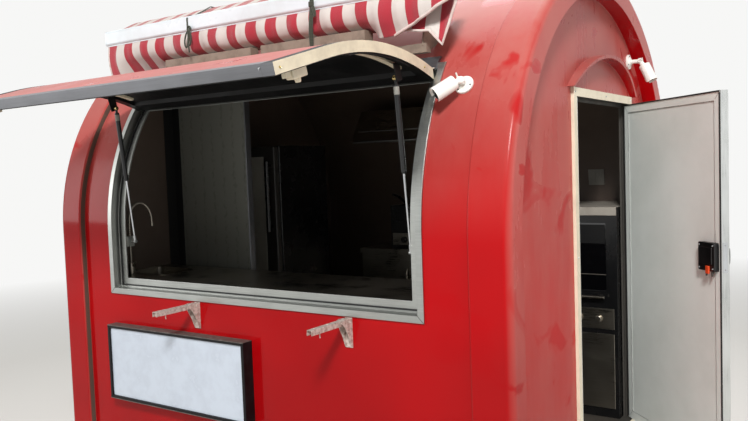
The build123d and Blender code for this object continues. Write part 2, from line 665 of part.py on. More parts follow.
def make_door_frame():
    low = FLOOR_Z - FLOOR_THICK
    outer = span((PANEL_X, PANEL_X + DOOR_FRAME_PROUD), (DOOR_LEFT - DOOR_FRAME_W, DOOR_RIGHT + DOOR_FRAME_W),
                 (low, DOOR_TOP + DOOR_FRAME_W))
    lining = span((INNER_X, PANEL_X + 1), (DOOR_LEFT - DOOR_FRAME_W / 2, DOOR_RIGHT + DOOR_FRAME_W / 2),
                  (low, DOOR_TOP + DOOR_FRAME_W / 2))
    frame = outer + lining
    frame -= span((INNER_X - 1, RING_X), (DOOR_LEFT, DOOR_RIGHT), (FLOOR_Z + 4, DOOR_TOP))
    stop = span((INNER_X, INNER_X + 10), (DOOR_LEFT - 1, DOOR_RIGHT + 1), (FLOOR_Z + 4, DOOR_TOP + 1))
    stop -= span((INNER_X - 1, INNER_X + 11), (DOOR_LEFT + 14, DOOR_RIGHT - 14), (FLOOR_Z, DOOR_TOP - 14))
    frame += stop
    for z in DOOR_HINGE_ZS:
        top = z + KNUCKLE_L
        frame += rod((DOOR_PIN_X, DOOR_PIN_Y, z), (DOOR_PIN_X, DOOR_PIN_Y, top), KNUCKLE_R)
        frame += span((PANEL_X + DOOR_FRAME_PROUD, DOOR_PIN_X), (DOOR_PIN_Y + 2, DOOR_PIN_Y + 34), (z, top))
    return frame - floor_deck


def door_opened(shape):
    return shape.rotate(Axis((DOOR_PIN_X, DOOR_PIN_Y, 0), (0, 0, 1)), DOOR_OPEN)


def make_door_leaf():
    x_pair = (INNER_X + 10 + DOOR_GAP, INNER_X + 10 + DOOR_GAP + DOOR_THICK)
    y_pair = (DOOR_LEFT + DOOR_GAP, DOOR_RIGHT - DOOR_GAP)
    z_pair = (DOOR_LOW, DOOR_TOP - DOOR_GAP)
    leaf = span(x_pair, y_pair, z_pair)
    field = span((x_pair[0] - 1, x_pair[0] + 3), (y_pair[0] + DOOR_BORDER, y_pair[1] - DOOR_BORDER),
                 (z_pair[0] + DOOR_BORDER, z_pair[1] - DOOR_BORDER))
    leaf -= field
    for z in DOOR_HINGE_ZS:
        low = z + KNUCKLE_L + KNUCKLE_GAP
        z_pair = (low, low + KNUCKLE_L)
        leaf += rod((DOOR_PIN_X, DOOR_PIN_Y, z_pair[0]), (DOOR_PIN_X, DOOR_PIN_Y, z_pair[1]), KNUCKLE_R)
        leaf += span((x_pair[1] - 1, DOOR_PIN_X), (DOOR_PIN_Y - 26, DOOR_PIN_Y - 7), z_pair)
        leaf += span((DOOR_PIN_X - 3, DOOR_PIN_X + 3), (DOOR_PIN_Y - 26, DOOR_PIN_Y - 3), z_pair)
    return door_opened(leaf)


def make_door_lock():
    x = INNER_X + 10 + DOOR_GAP
    y = DOOR_LEFT + DOOR_GAP
    y_pair = (y + LOCK_IN, y + LOCK_IN + LOCK_W)
    box = span((x - LOCK_D, x), y_pair, (LOCK_LOW, LOCK_LOW + LOCK_H))
    box = fillet(box.edges().filter_by(Axis.X), 6.0)
    lever_y = y + LOCK_IN + LOCK_W / 3
    lever_x = x - LOCK_D
    box += span((lever_x - 8, lever_x + 1), (lever_y - 13, lever_y + 13), (LOCK_LOW - 24, LOCK_LOW + 30))
    return door_opened(box)


# awning
def make_awning_brackets():
    """Wall plates, the square torsion tube and the ears that hold the roller."""
    half = TORSION / 2
    y_pair = (TORSION_Y - half, TORSION_Y + half)
    bar = span((-AWNING_HALF + 70, AWNING_HALF - 170), y_pair, (TORSION_Z - half, TORSION_Z + half))
    for x in (-AWNING_HALF + 90, AWNING_HALF - 190):
        front = ((TORSION_Y - 20, TORSION_Z + 10), (ROLL_Y - 24, ROLL_Z + 22), (ROLL_Y + 26, ROLL_Z + 22))
        foot = (TORSION_Y + 10, TORSION_Z - TORSION / 2)
        back = ((ROLL_Y + 122, ROLL_Z - 148), (ROLL_Y + 52, ROLL_Z - 248), foot)
        ear = Polyline(*front, *back, close=True)
        plate = extrude(Plane.YZ.offset(x) * make_face(ear), 8)
        bar += plate
    return bar - arch_solid(BODY_RADIUS, -BARREL_HALF, BARREL_HALF) - roller


def make_roller():
    return rod((-AWNING_HALF + 30, ROLL_Y, ROLL_Z), (AWNING_HALF - 130, ROLL_Y, ROLL_Z), ROLLER_R)


# section of the slack cloth: it bulges in front of the bar and lies on the folded arms
VALANCE_POINTS = (
    (BAR_Y - 13, BAR_LOW),
    (BAR_Y - 32, BAR_LOW - 60),
    (BAR_Y - 30, ARM_TOP + 12),
    (BAR_Y - 15, ARM_TOP + CLOTH_GAP),
    (BAR_Y + 34, ARM_TOP + CLOTH_GAP),
    (BAR_Y + 32, BAR_LOW - 60),
    (BAR_Y + 25, BAR_LOW),
)


def make_cloth_roll():
    roll = rod((-AWNING_HALF + 34, ROLL_Y, ROLL_Z), (AWNING_HALF - 134, ROLL_Y, ROLL_Z), ROLL_R)
    for x in (-AWNING_HALF + 90, AWNING_HALF - 190):
        roll -= span((x - 3, x + 11), (ROLL_Y - 90, ROLL_Y + 90), (ROLL_Z - 90, ROLL_Z + 90))
    return roll - rod((-AWNING_HALF, ROLL_Y, ROLL_Z), (AWNING_HALF, ROLL_Y, ROLL_Z), ROLLER_R + CLOTH_GAP)


def make_valance():
    face = make_face(Polyline(*VALANCE_POINTS, close=True))
    half = AWNING_HALF - 12
    cloth = extrude(Plane.YZ.offset(-half) * face, 2 * half)
    for side in (-1, 1):
        x_pair = sorted((side * (ARM_REACH + 12), side * half))
        cloth += span(x_pair, (BAR_Y - 22, BAR_Y + 18), (HINGE_Z + VALANCE_FOOT_RISE, ARM_TOP + 20))
    for x in TIE_XS:
        x_pair = (x - TIE_W / 2 - 1, x + TIE_W / 2 + 1)
        cloth -= span(x_pair, (BAR_Y - 50, BAR_Y + 50), (BAR_LOW - 5, BAR_LOW + 1))
    return cloth


def make_front_bar():
    y_pair = (BAR_Y - BAR_D / 2, BAR_Y + BAR_D / 2)
    bar = span((-AWNING_HALF, AWNING_HALF), y_pair, (BAR_LOW, BAR_LOW + BAR_H))
    return fillet(bar.edges().filter_by(Axis.X), 14.0)


def make_awning_arms():
    """Each folded arm: a level upper arm on a shoulder bracket, an elbow, and a forearm to the bar."""
    arms = None
    low = ARM_TOP - ARM_H
    y_pair = (ARM_Y - ARM_D / 2, ARM_Y + ARM_D / 2)
    fore_y = BAR_Y + BAR_D / 2 + FORE_GAP + FORE_D / 2
    for side in (-1, 1):
        x_pair = sorted((side * ARM_INNER, side * ARM_REACH))
        arm = span(x_pair, y_pair, (low, ARM_TOP))
        shoulder = sorted((side * (ARM_REACH - 60), side * ARM_REACH))
        arm += span(shoulder, (y_pair[1], TORSION_Y - TORSION / 2), (TORSION_Z - TORSION / 2, ARM_TOP))
        elbow_x = side * (ARM_INNER + 24)
        fore_low = BAR_LOW + 8
        arm += rod((elbow_x, fore_y, low), (elbow_x, fore_y, fore_low + FORE_H), FORE_D / 2 - 1)
        arm += span(sorted((side * ARM_INNER, side * (ARM_INNER + 48))), (y_pair[1], fore_y), (low, ARM_TOP))
        wrist_x = side * (ARM_REACH + 60)
        fore_ys = (fore_y - FORE_D / 2, fore_y + FORE_D / 2)
        arm += span(sorted((elbow_x, wrist_x)), fore_ys, (fore_low, fore_low + FORE_H))
        wrist = sorted((wrist_x, wrist_x - side * 40))
        arm += span(wrist, (BAR_Y + BAR_D / 2, fore_y), (fore_low, fore_low + FORE_H))
        arm -= brackets
        arms = arm if arms is None else arms + arm
    return arms


def make_ties():
    """Two cloth straps tied round the front bar and the rolled cloth."""
    ties = None
    front = BAR_Y - BAR_D / 2
    back = ROLL_Y + ROLL_R
    top = ROLL_Z + ROLL_R
    for x in TIE_XS:
        inner = CLOTH_GAP
        outer = CLOTH_GAP + TIE_THICK
        x_pair = (x - TIE_W / 2, x + TIE_W / 2)
        strap = span(x_pair, (front - outer, back + outer), (BAR_LOW - outer, top + outer))
        strap -= span((x - TIE_W, x + TIE_W), (front - inner, back + inner), (BAR_LOW - inner, top + inner))
        ties = strap if ties is None else ties + strap
    return ties


# outside fittings
def make_sign_box():
    y = -BODY_RADIUS
    box = span((SIGN_LEFT, SIGN_RIGHT), (y - SIGN_DEPTH, y), (SIGN_LOW, SIGN_HIGH))
    inner = span((SIGN_LEFT + SIGN_EDGE, SIGN_RIGHT - SIGN_EDGE), (y - SIGN_DEPTH - 1, y - 12),
                 (SIGN_LOW + SIGN_EDGE, SIGN_HIGH - SIGN_EDGE))
    return box - inner


def make_sign_panel():
    y = -BODY_RADIUS
    return span((SIGN_LEFT + SIGN_EDGE, SIGN_RIGHT - SIGN_EDGE), (y - SIGN_DEPTH + 8, y - SIGN_DEPTH + 14),
                (SIGN_LOW + SIGN_EDGE, SIGN_HIGH - SIGN_EDGE))


SHELF_PIN_Y = -BODY_RADIUS - SHELF_PIN_OUT
SHELF_PIN_Z = FRAME_LOW - SHELF_PIN_DROP


def make_arm_plates():
    """Wall legs of the two folding shelf brackets."""
    plates = None
    for x in SHELF_XS:
        plate = span((x - 15, x + 15), (-BODY_RADIUS - 4, -BODY_RADIUS), (FRAME_LOW - 125, FRAME_LOW - 4))
        for side in (-1, 1):
            x_pair = (x + side * 15 - 1.5, x + side * 15 + 1.5)
            plate += span(x_pair, (SHELF_PIN_Y - 8, -BODY_RADIUS), (SHELF_PIN_Z - 14, SHELF_PIN_Z + 10))
        plate += rod((x - 20, SHELF_PIN_Y, SHELF_PIN_Z), (x + 20, SHELF_PIN_Y, SHELF_PIN_Z), 3)
        plates = plate if plates is None else plates + plate
    return plates


def make_shelf_arm(x):
    """A folding arm of pressed channel, level in the resting pose."""
    tip = SHELF_PIN_Y - SHELF_ARM
    arm = span((x - 12, x + 12), (tip, SHELF_PIN_Y + 5), (SHELF_PIN_Z - 10, SHELF_PIN_Z + 12))
    arm -= span((x - 9, x + 9), (tip - 1, SHELF_PIN_Y + 6), (SHELF_PIN_Z - 11, SHELF_PIN_Z + 9))
    return arm - rod((x - 21, SHELF_PIN_Y, SHELF_PIN_Z), (x + 21, SHELF_PIN_Y, SHELF_PIN_Z), 3 + RUNNING)


def make_camera(base, out, aim, neck):
    """A bullet camera: base disc, neck, barrel and sun hood."""
    base = Vector(*base)
    out = Vector(*out).normalized()
    aim = Vector(*aim).normalized()
    knuckle = base + out * neck
    camera = rod(tuple(base - out * 2), tuple(base + out * 10), 38) - barrel - rear_end
    camera += rod(tuple(base + out * 8), tuple(knuckle), 13)
    camera += Pos(*tuple(knuckle)) * Sphere(17)
    start = knuckle + aim * 24 + out * 8
    camera += rod(tuple(knuckle), tuple(start + aim * 10), 11)
    camera += rod(tuple(start), tuple(start + aim * CAMERA_BODY_L), CAMERA_BODY_R)
    return camera


def make_lamps():
    lamps = None
    for side in (-1, 1):
        for z in LAMP_ZS:
            y = side * (RING_INNER + BODY_RADIUS - 10) / 2
            lamp = rod((RING_X - 1, y, z), (RING_X + 16, y, z), LAMP_R)
            lamps = lamp if lamps is None else lamps + lamp
    return lamps - rear_end


# fittings inside
def counter(x_pair, y_walk, y_wall):
    """A steel worktop on a cabinet that is open to the wall behind."""
    y_pair = sorted((y_walk, y_wall))
    inward = 1 if y_walk > y_wall else -1
    under = COUNTER_Z - COUNTER_THICK
    unit = span(x_pair, y_pair, (under, COUNTER_Z))
    face = y_walk - inward * COUNTER_NOSE
    back = face - inward * COUNTER_PANEL
    unit += span(x_pair, sorted((face, back)), (FLOOR_Z, under))
    for x in x_pair:
        x_wall = sorted((x, x + (COUNTER_PANEL if x == x_pair[0] else -COUNTER_PANEL)))
        unit += span(x_wall, sorted((back, back - inward * 156)), (FLOOR_Z, under))
    return unit


SINK_X = -INNER_X + SINK_FROM_END
SINK_Y = (COUNTER_FRONT - INNER_R) / 2 + 50
OVEN_X = INNER_X - 4 - OVEN_W


def make_counter_front():
    wall = skin_y(COUNTER_Z, -LIP_BACK) + 1
    unit = counter((-INNER_X, FRAME_HALF - 10), COUNTER_FRONT, wall)
    hole_x = (SINK_X - SINK_HALF_X - 4, SINK_X + SINK_HALF_X + 4)
    hole_y = (SINK_Y - SINK_HALF_Y - 4, SINK_Y + SINK_HALF_Y + 4)
    return unit - span(hole_x, hole_y, (COUNTER_Z - 2 * COUNTER_THICK, COUNTER_Z + 1))


def make_counter_back():
    return counter((-INNER_X + FRIDGE_W + 158, OVEN_X - 4), COUNTER_BACK, INNER_R)


def make_sink():
    """A pressed bowl in the worktop with a swan-neck tap that reaches over it."""
    rim = span((SINK_X - SINK_HALF_X - 12, SINK_X + SINK_HALF_X + 12),
               (SINK_Y - SINK_HALF_Y - 12, SINK_Y + SINK_HALF_Y + 12), (COUNTER_Z, COUNTER_Z + 2))
    outer = 3.0
    bowl_x = (SINK_X - SINK_HALF_X - outer, SINK_X + SINK_HALF_X + outer)
    bowl_y = (SINK_Y - SINK_HALF_Y - outer, SINK_Y + SINK_HALF_Y + outer)
    bowl = span(bowl_x, bowl_y, (COUNTER_Z - SINK_DEPTH - outer, COUNTER_Z + 2))
    hollow_x = (SINK_X - SINK_HALF_X, SINK_X + SINK_HALF_X)
    hollow_y = (SINK_Y - SINK_HALF_Y, SINK_Y + SINK_HALF_Y)
    hollow = span(hollow_x, hollow_y, (COUNTER_Z - SINK_DEPTH, COUNTER_Z + 3))
    sink = rim + bowl - hollow
    tap_x = SINK_X - 70
    tap_y = SINK_Y - SINK_HALF_Y - 26
    sink += rod((tap_x, tap_y, COUNTER_Z), (tap_x, tap_y, COUNTER_Z + 40), 20)
    neck = COUNTER_Z + 290
    reach = Vector(70, 150, 0)
    start = Vector(tap_x, tap_y, COUNTER_Z + 30)
    shoulder = Vector(tap_x, tap_y, neck)
    crown = shoulder + reach * 0.5 + Vector(0, 0, reach.length / 2)
    path = Line(start, shoulder)
    path += ThreePointArc(shoulder, crown, shoulder + reach)
    section = Plane(origin=start, z_dir=(0, 0, 1)) * Circle(9)
    sink += sweep(section, path=path)
    return sink


def make_partition():
    y_pair = (PARTITION_Y, PARTITION_Y + PARTITION_THICK)
    return span((-INNER_X, -INNER_X + PARTITION_W), y_pair, (FLOOR_Z, PARTITION_TOP))


def make_fridge():
    """An upright fridge that faces the window, with a bar handle."""
    right = -INNER_X + FRIDGE_W
    fridge = span((-INNER_X, right), (FRIDGE_Y, FRIDGE_Y + FRIDGE_D), (FLOOR_Z, FRIDGE_TOP))
    handle_x = right - 34
    handle_y = FRIDGE_Y - 34
    low = FRIDGE_TOP - 510
    high = FRIDGE_TOP - 90
    handle = rod((handle_x, handle_y, low), (handle_x, handle_y, high), 11)
    for z in (low + 30, high - 30):
        handle += rod((handle_x, handle_y, z), (handle_x, FRIDGE_Y, z), 8)
    return fridge + handle


def make_hood():
    """Extractor hood along the back wall."""
    front = COUNTER_BACK - 80
    slope = 120.0
    sheet = 15.0
    back = INNER_R - 235
    top = HOOD_HIGH - sheet
    corners = ((front, HOOD_LOW), (front + slope, HOOD_HIGH), (INNER_R, HOOD_HIGH), (INNER_R, HOOD_LOW))
    profile = make_face(Polyline(*corners, close=True))
    hood = extrude(Plane.YZ.offset(HOOD_LEFT) * profile, HOOD_RIGHT - HOOD_LEFT)
    hood &= arch_solid(INNER_R, HOOD_LEFT, HOOD_RIGHT)
    mouth = HOOD_LOW - sheet
    corners = ((front + 18, mouth), (front + slope + 16, top), (back, top), (back, mouth))
    inside = make_face(Polyline(*corners, close=True))
    return hood - extrude(Plane.YZ.offset(HOOD_LEFT + sheet) * inside, HOOD_RIGHT - HOOD_LEFT - 2 * sheet)


def make_fryer():
    """A table-top fryer with two open tanks."""
    right = FRYER_LEFT + FRYER_W
    y_pair = (COUNTER_BACK + 40, INNER_R - 60)
    top = COUNTER_Z + FRYER_H
    fryer = span((FRYER_LEFT, right), y_pair, (COUNTER_Z, top))
    middle = (FRYER_LEFT + right) / 2
    for x_pair in ((FRYER_LEFT + 30, middle - 10), (middle + 10, right - 30)):
        fryer -= span(x_pair, (y_pair[0] + 40, y_pair[1] - 100), (top - 200, top + 1))
    return fryer


def make_oven():
    """A floor-standing oven with its pale top beside the door."""
    y_low = COUNTER_BACK - 50
    x_pair = (OVEN_X, OVEN_X + OVEN_W)
    under = OVEN_TOP - OVEN_SLAB
    oven = span(x_pair, (y_low, INNER_R - 60), (FLOOR_Z, under))
    oven += span(x_pair, (y_low - 8, INNER_R - 60), (under, OVEN_TOP))
    window_x = (OVEN_X + 60, OVEN_X + OVEN_W - 60)
    return oven - span(window_x, (y_low - 1, y_low + 16), (under - 400, under - 40))


def make_number_plate():
    return span((PANEL_X, PANEL_X + 6), (-RING_INNER + 110, -RING_INNER + 390), (620, 760))


def make_switch_plate():
    x_pair = (INNER_X - 340, INNER_X - 245)
    return span(x_pair, (INNER_R - 60, INNER_R), (1668, 1762)) & arch_shell(INNER_R, INNER_R - 8, *x_pair)


barrel = make_barrel()
rear_end = make_end(True)
front_end = mirror(make_end(False), Plane.YZ)
floor_deck = make_floor()
drawbar = make_drawbar()
wheel_housings = make_housings()
roller = make_roller()
brackets = make_awning_brackets()
front_bar = make_front_bar()
rim = make_rim()
tyre = make_tyre()

side_angle = radians(31.3)
ring_angle = radians(54.0)
rear_radius = RING_INNER - CAMERA_FOOT
camera_x = FRAME_HALF + CAMERA_SHARE * (BARREL_HALF - FRAME_HALF)
side_place = (camera_x, -BODY_RADIUS * cos(side_angle), ARCH_Z + BODY_RADIUS * sin(side_angle))
side_out = (0, -cos(side_angle), sin(side_angle))
rear_place = (PANEL_X, rear_radius * cos(ring_angle), ARCH_Z + rear_radius * sin(ring_angle))

nodes = {
    "barrel_shell": barrel,
    "rear_end_shell": rear_end,
    "front_end_shell": front_end,
    "floor_deck": floor_deck,
    "wheel_housings": wheel_housings - barrel - floor_deck,
    "chassis_frame": make_chassis(),
    "leg_brackets": make_leg_brackets(),
    "drawbar": drawbar,
    "coupling_head": make_coupling() - drawbar,
    "jockey_tube": make_jockey_tube(),
    "jockey_leg": make_jockey_leg(),
    "jockey_fork": make_jockey_fork(),
    "jockey_wheel": make_jockey_wheel(),
    "axle": make_axle(),
    "rim_far": rim,
    "rim_near": mirror(rim, Plane.XZ),
    "tyre_far": tyre,
    "tyre_near": mirror(tyre, Plane.XZ),
    "window_frame": make_window_frame(),
    "hinge_rail": make_hinge_rail(),
    "hatch_panel": opened(make_hatch_panel()),
    "hatch_frame": opened(make_hatch_frame()),
    "hatch_rail": opened(make_hatch_rail()),
    "door_frame": make_door_frame(),
    "door_leaf": make_door_leaf(),
    "door_lock": make_door_lock(),
    "awning_brackets": brackets,
    "awning_roller": roller,
    "awning_roll": make_cloth_roll(),
    "awning_valance": make_valance(),
    "awning_front_bar": front_bar,
    "awning_arms": make_awning_arms(),
    "awning_ties": make_ties(),
    "sign_box": make_sign_box(),
    "sign_panel": make_sign_panel(),
    "shelf_plates": make_arm_plates(),
    "camera_side": make_camera(side_place, side_out, (-0.567, -0.662, -0.492), CAMERA_NECK_SIDE),
    "camera_rear": make_camera(rear_place, (1, 0, 0), (0.44, -0.04, -0.90), CAMERA_NECK_REAR),
    "tail_lamps": make_lamps(),
    "number_plate": make_number_plate(),
    "counter_front": make_counter_front(),
    "counter_back": make_counter_back(),
    "sink_and_tap": make_sink(),
    "partition": make_partition(),
    "fridge": make_fridge(),
    "extractor_hood": make_hood(),
    "fryer": make_fryer(),
    "oven": make_oven(),
    "switch_plate": make_switch_plate(),
}
for name, side in (("left", -1), ("right", 1)):
    nodes[f"strut_tube_{name}"] = make_strut_tube(side)
    nodes[f"strut_rod_{name}"] = make_strut_rod(side)
for name, x in zip(("left", "right"), SHELF_XS):
    nodes[f"shelf_arm_{name}"] = make_shelf_arm(x)
for end_name, end in (("front", -1), ("rear", 1)):
    for side_name, side in (("near", -1), ("far", 1)):
        nodes[f"leg_{end_name}_{side_name}"] = make_leg(end, side)

os.makedirs("parts", exist_ok=True)
for name, shape in nodes.items():
    export_step(shape, f"parts/{name}.step")
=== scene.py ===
import bpy
import bmesh
import json
import math
from functools import partial
from mathutils import Matrix, Vector, noise


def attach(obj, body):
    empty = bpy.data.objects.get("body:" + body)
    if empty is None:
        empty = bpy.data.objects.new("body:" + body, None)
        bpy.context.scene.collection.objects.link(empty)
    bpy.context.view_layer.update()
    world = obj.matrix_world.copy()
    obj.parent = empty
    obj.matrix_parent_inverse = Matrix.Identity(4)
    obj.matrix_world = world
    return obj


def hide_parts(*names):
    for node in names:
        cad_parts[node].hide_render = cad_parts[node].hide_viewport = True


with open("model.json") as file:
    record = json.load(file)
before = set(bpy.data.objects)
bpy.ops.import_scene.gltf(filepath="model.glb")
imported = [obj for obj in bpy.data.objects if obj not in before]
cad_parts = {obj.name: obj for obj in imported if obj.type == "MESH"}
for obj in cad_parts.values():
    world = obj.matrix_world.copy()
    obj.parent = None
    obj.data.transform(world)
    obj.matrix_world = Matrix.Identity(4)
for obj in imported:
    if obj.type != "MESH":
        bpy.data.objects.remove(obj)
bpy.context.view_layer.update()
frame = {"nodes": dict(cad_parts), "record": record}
nodes = frame["nodes"]
mm = 0.001

# places shared by many pieces, in metres
trailer = {"radius": 1.1, "archZ": 1.55, "innerR": 1.06, "innerX": 1.16, "hinge": (-0.90378, 2.203),
           "hatchOpen": 74, "doorPin": (1.222, 0.537), "doorOpen": 45}


def hexColor(code):
    # sRGB hex to the linear colour that nodes use
    values = [int(code[i:i + 2], 16) / 255 for i in (1, 3, 5)]
    linear = [v / 12.92 if v <= 0.04045 else ((v + 0.055) / 1.055) ** 2.4 for v in values]
    return (*linear, 1.0)


def addNode(tree, kind, inputs=None, **settings):
    # one node with its settings; an input is a value, a node or another node's output
    node = tree.nodes.new("ShaderNode" + kind)
    for name, value in settings.items():
        setattr(node, name, value)
    for name, value in (inputs or {}).items():
        if isinstance(value, bpy.types.Node):
            value = value.outputs[0]
        if isinstance(value, bpy.types.NodeSocket):
            tree.links.new(value, node.inputs[name])
        else:
            node.inputs[name].default_value = value
    return node


def newMaterial(name, **sockets):
    # keywords are the shader's own sockets; add puts a node into the material
    material = bpy.data.materials.new(name)
    material.use_nodes = True
    tree = material.node_tree
    shader = tree.nodes["Principled BSDF"]
    for socket, value in sockets.items():
        shader.inputs[socket.replace("_", " ")].default_value = value
    return material, partial(addNode, tree), shader


def wire(shader, **outputs):
    # keywords are the shader's own sockets, each with the node or output that feeds it
    for socket, value in outputs.items():
        if isinstance(value, bpy.types.Node):
            value = value.outputs[0]
        shader.id_data.links.new(value, shader.inputs[socket.replace("_", " ")])


# camera: solved from the photo's straight edges, the photo is 748 by 421
shot = {"place": (2.36, -3.55, 1.84), "yaw": 34.14, "pitch": -3.435, "roll": -2.026, "lens": 37.15}


def makeCamera():
    yaw, pitch, roll = (math.radians(shot[k]) for k in ("yaw", "pitch", "roll"))
    forward = Vector((-math.sin(yaw) * math.cos(pitch), math.cos(yaw) * math.cos(pitch), math.sin(pitch)))
    level = Vector((math.cos(yaw), math.sin(yaw), 0))
    up = level.cross(forward)
    right = math.cos(roll) * level + math.sin(roll) * up
    top = -math.sin(roll) * level + math.cos(roll) * up
    data = bpy.data.cameras.new("camera")
    data.lens = shot["lens"]
    data.sensor_width = 36
    data.clip_end = 100
    camera = bpy.data.objects.new("camera", data)
    turn = Matrix((right, top, -forward)).transposed().to_4x4()
    camera.matrix_world = Matrix.Translation(shot["place"]) @ turn
    bpy.context.collection.objects.link(camera)
    bpy.context.scene.camera = camera


makeCamera()
print("camera set")

# materials

# polyester gelcoat over glass fibre, polished in the mould: a deep wet gloss with a slow ripple,
# under a pale film on the roof and the end panels: partly road dust, partly painted reflection
gelcoatLook = {"red": "#B4040C", "deep": "#9A0309", "dust": "#B98379", "roof": 0.66, "end": 0.52,
               "wiped": 0.25, "ripple": 5.0}


def gelcoat(name, dusty):
    material, add, shader = newMaterial(name, Specular_IOR_Level=0.13)
    place = add("TexCoord").outputs["Object"]
    tone = add("TexNoise", {"Vector": place, "Scale": 1.1, "Detail": 2.0})
    red = add("MapRange", {"Value": tone, "From Min": 0.35, "From Max": 0.65})
    red = add("Mix", {0: red, 6: hexColor(gelcoatLook["red"]), 7: hexColor(gelcoatLook["deep"])},
              data_type="RGBA").outputs[2]
    facing = add("SeparateXYZ", {"Vector": add("NewGeometry").outputs["Normal"]})
    upward = add("MapRange", {"Value": facing.outputs["Z"], "From Min": -0.02, "From Max": 0.75,
                              "To Max": gelcoatLook["roof"]})
    endward = add("Math", {0: facing.outputs["X"]}, operation="ABSOLUTE")
    endward = add("MapRange", {"Value": endward, "From Min": 0.3, "From Max": 1.0,
                               "To Max": gelcoatLook["end"]})
    film = add("Math", {0: upward, 1: endward}, operation="MAXIMUM")
    height = add("SeparateXYZ", {"Vector": place})
    low = add("MapRange", {"Value": height.outputs["Z"], "From Min": 0.9, "From Max": 2.2, "To Min": 0.45,
                           "To Max": 1.0})  # the pale film thins low down
    film = add("Math", {0: film, 1: low}, operation="MULTIPLY")
    # the film runs in soft streaks about 200 mm long
    run = add("Mapping", {"Vector": place, "Scale": (1, 1, 0.3)})
    streak = add("TexNoise", {"Vector": run, "Scale": 4.2, "Detail": 7.0, "Roughness": 0.62})
    patch = add("MapRange", {"Value": streak, "From Min": 0.32, "From Max": 0.62, "To Min": 0.5,
                             "To Max": 1.0})
    film = add("Math", {0: film, 1: patch}, operation="MULTIPLY")
    # wiped marks, where a hand or cloth took the dust off
    marks = add("TexNoise", {"Vector": place, "Scale": 3.1, "Detail": 3.0, "Distortion": 1.2})
    wiped = add("MapRange", {"Value": marks, "From Min": 0.62, "From Max": 0.67, "To Min": 1.0,
                             "To Max": gelcoatLook["wiped"]})
    film = add("Math", {0: film, 1: wiped}, operation="MULTIPLY")
    film = add("Math", {0: film, 1: dusty}, operation="MULTIPLY")
    # the pale film's colour: partly road dust, partly painted reflection
    color = add("Mix", {0: film, 6: red, 7: hexColor(gelcoatLook["dust"])}, data_type="RGBA")
    rough = add("MapRange", {"Value": film, "From Max": 0.6, "To Min": 0.09, "To Max": 0.42})
    # the laminate's print-through: lumps about 300 mm across, 5 mm deep at most
    wave = add("TexNoise", {"Vector": place, "Scale": 3.2, "Detail": 1.0, "Roughness": 0.3})
    bump = add("Bump", {"Height": wave, "Distance": gelcoatLook["ripple"] * mm, "Strength": 0.3})
    wire(shader, Base_Color=color.outputs[2], Roughness=rough, Normal=bump)
    return material


def brushedMetal(name, color, roughness, grainMm=2.0, along="X", metallic=1.0, dark=0.8, stretch=60):
    # fine parallel lines left by a belt or a drawing die, which break the reflection up
    material, add, shader = newMaterial(name, Metallic=metallic)
    place = add("TexCoord").outputs["Object"]
    scale = {"X": (1 / stretch, 1, 1), "Y": (1, 1 / stretch, 1), "Z": (1, 1, 1 / stretch)}[along]
    run = add("Mapping", {"Vector": place, "Scale": scale})
    lines = add("TexNoise", {"Vector": run, "Scale": 1000 / grainMm, "Detail": 2.0})
    cloud = add("TexNoise", {"Vector": place, "Scale": 5.5, "Detail": 4.0})
    tone = add("Math", {0: lines, 1: cloud}, operation="ADD")
    base = hexColor(color)
    shade = tuple(v * dark for v in base[:3]) + (1.0,)
    tint = add("MapRange", {"Value": tone, "From Min": 0.75, "From Max": 1.25})
    tint = add("Mix", {0: tint, 6: shade, 7: base}, data_type="RGBA")
    rough = add("MapRange", {"Value": tone, "From Min": 0.7, "From Max": 1.3, "To Min": roughness * 0.8,
                             "To Max": roughness * 1.25})
    bump = add("Bump", {"Height": lines, "Distance": 0.15 * mm, "Strength": 0.25})
    wire(shader, Base_Color=tint.outputs[2], Roughness=rough, Normal=bump)
    return material


def coatedFinish(name, color, roughness, worn=None, peelMm=3.0, depthMm=0.05, metallic=0.0, dirt=0.3,
                 coat=0.0, patchMm=130, gloss=0.5):
    # sprayed, powder-coated or moulded: faint orange peel, and grime gathered in soft patches
    material, add, shader = newMaterial(name, Metallic=metallic, Coat_Weight=coat, Specular_IOR_Level=gloss)
    place = add("TexCoord").outputs["Object"]
    cloud = add("TexNoise", {"Vector": place, "Scale": 1000 / patchMm, "Detail": 6.0, "Roughness": 0.6})
    base = hexColor(color)
    soiled = hexColor(worn) if worn else tuple(v * 0.55 for v in base[:3]) + (1.0,)
    amount = add("MapRange", {"Value": cloud, "From Min": 0.42, "From Max": 0.72, "To Max": dirt})
    tint = add("Mix", {0: amount, 6: base, 7: soiled}, data_type="RGBA")
    rough = add("MapRange", {"Value": cloud, "From Min": 0.3, "From Max": 0.7, "To Min": roughness * 0.85,
                             "To Max": min(1.0, roughness * 1.3)})
    peel = add("TexNoise", {"Vector": place, "Scale": 1000 / peelMm, "Detail": 2.0})
    bump = add("Bump", {"Height": peel, "Distance": depthMm * mm, "Strength": 0.5})
    wire(shader, Base_Color=tint.outputs[2], Roughness=rough, Normal=bump)
    return material


# solution-dyed acrylic canvas, woven in stripes: dull, with a soft sheen and faded, dusty upper turns.
# The weave is drawn at 2.4 mm, coarser than its real 0.5 mm, so that it shows
canvasLook = {"red": "#B00A2A", "white": "#DAD3CC", "dust": "#A58A80", "pitch": 119, "weave": 2.4}


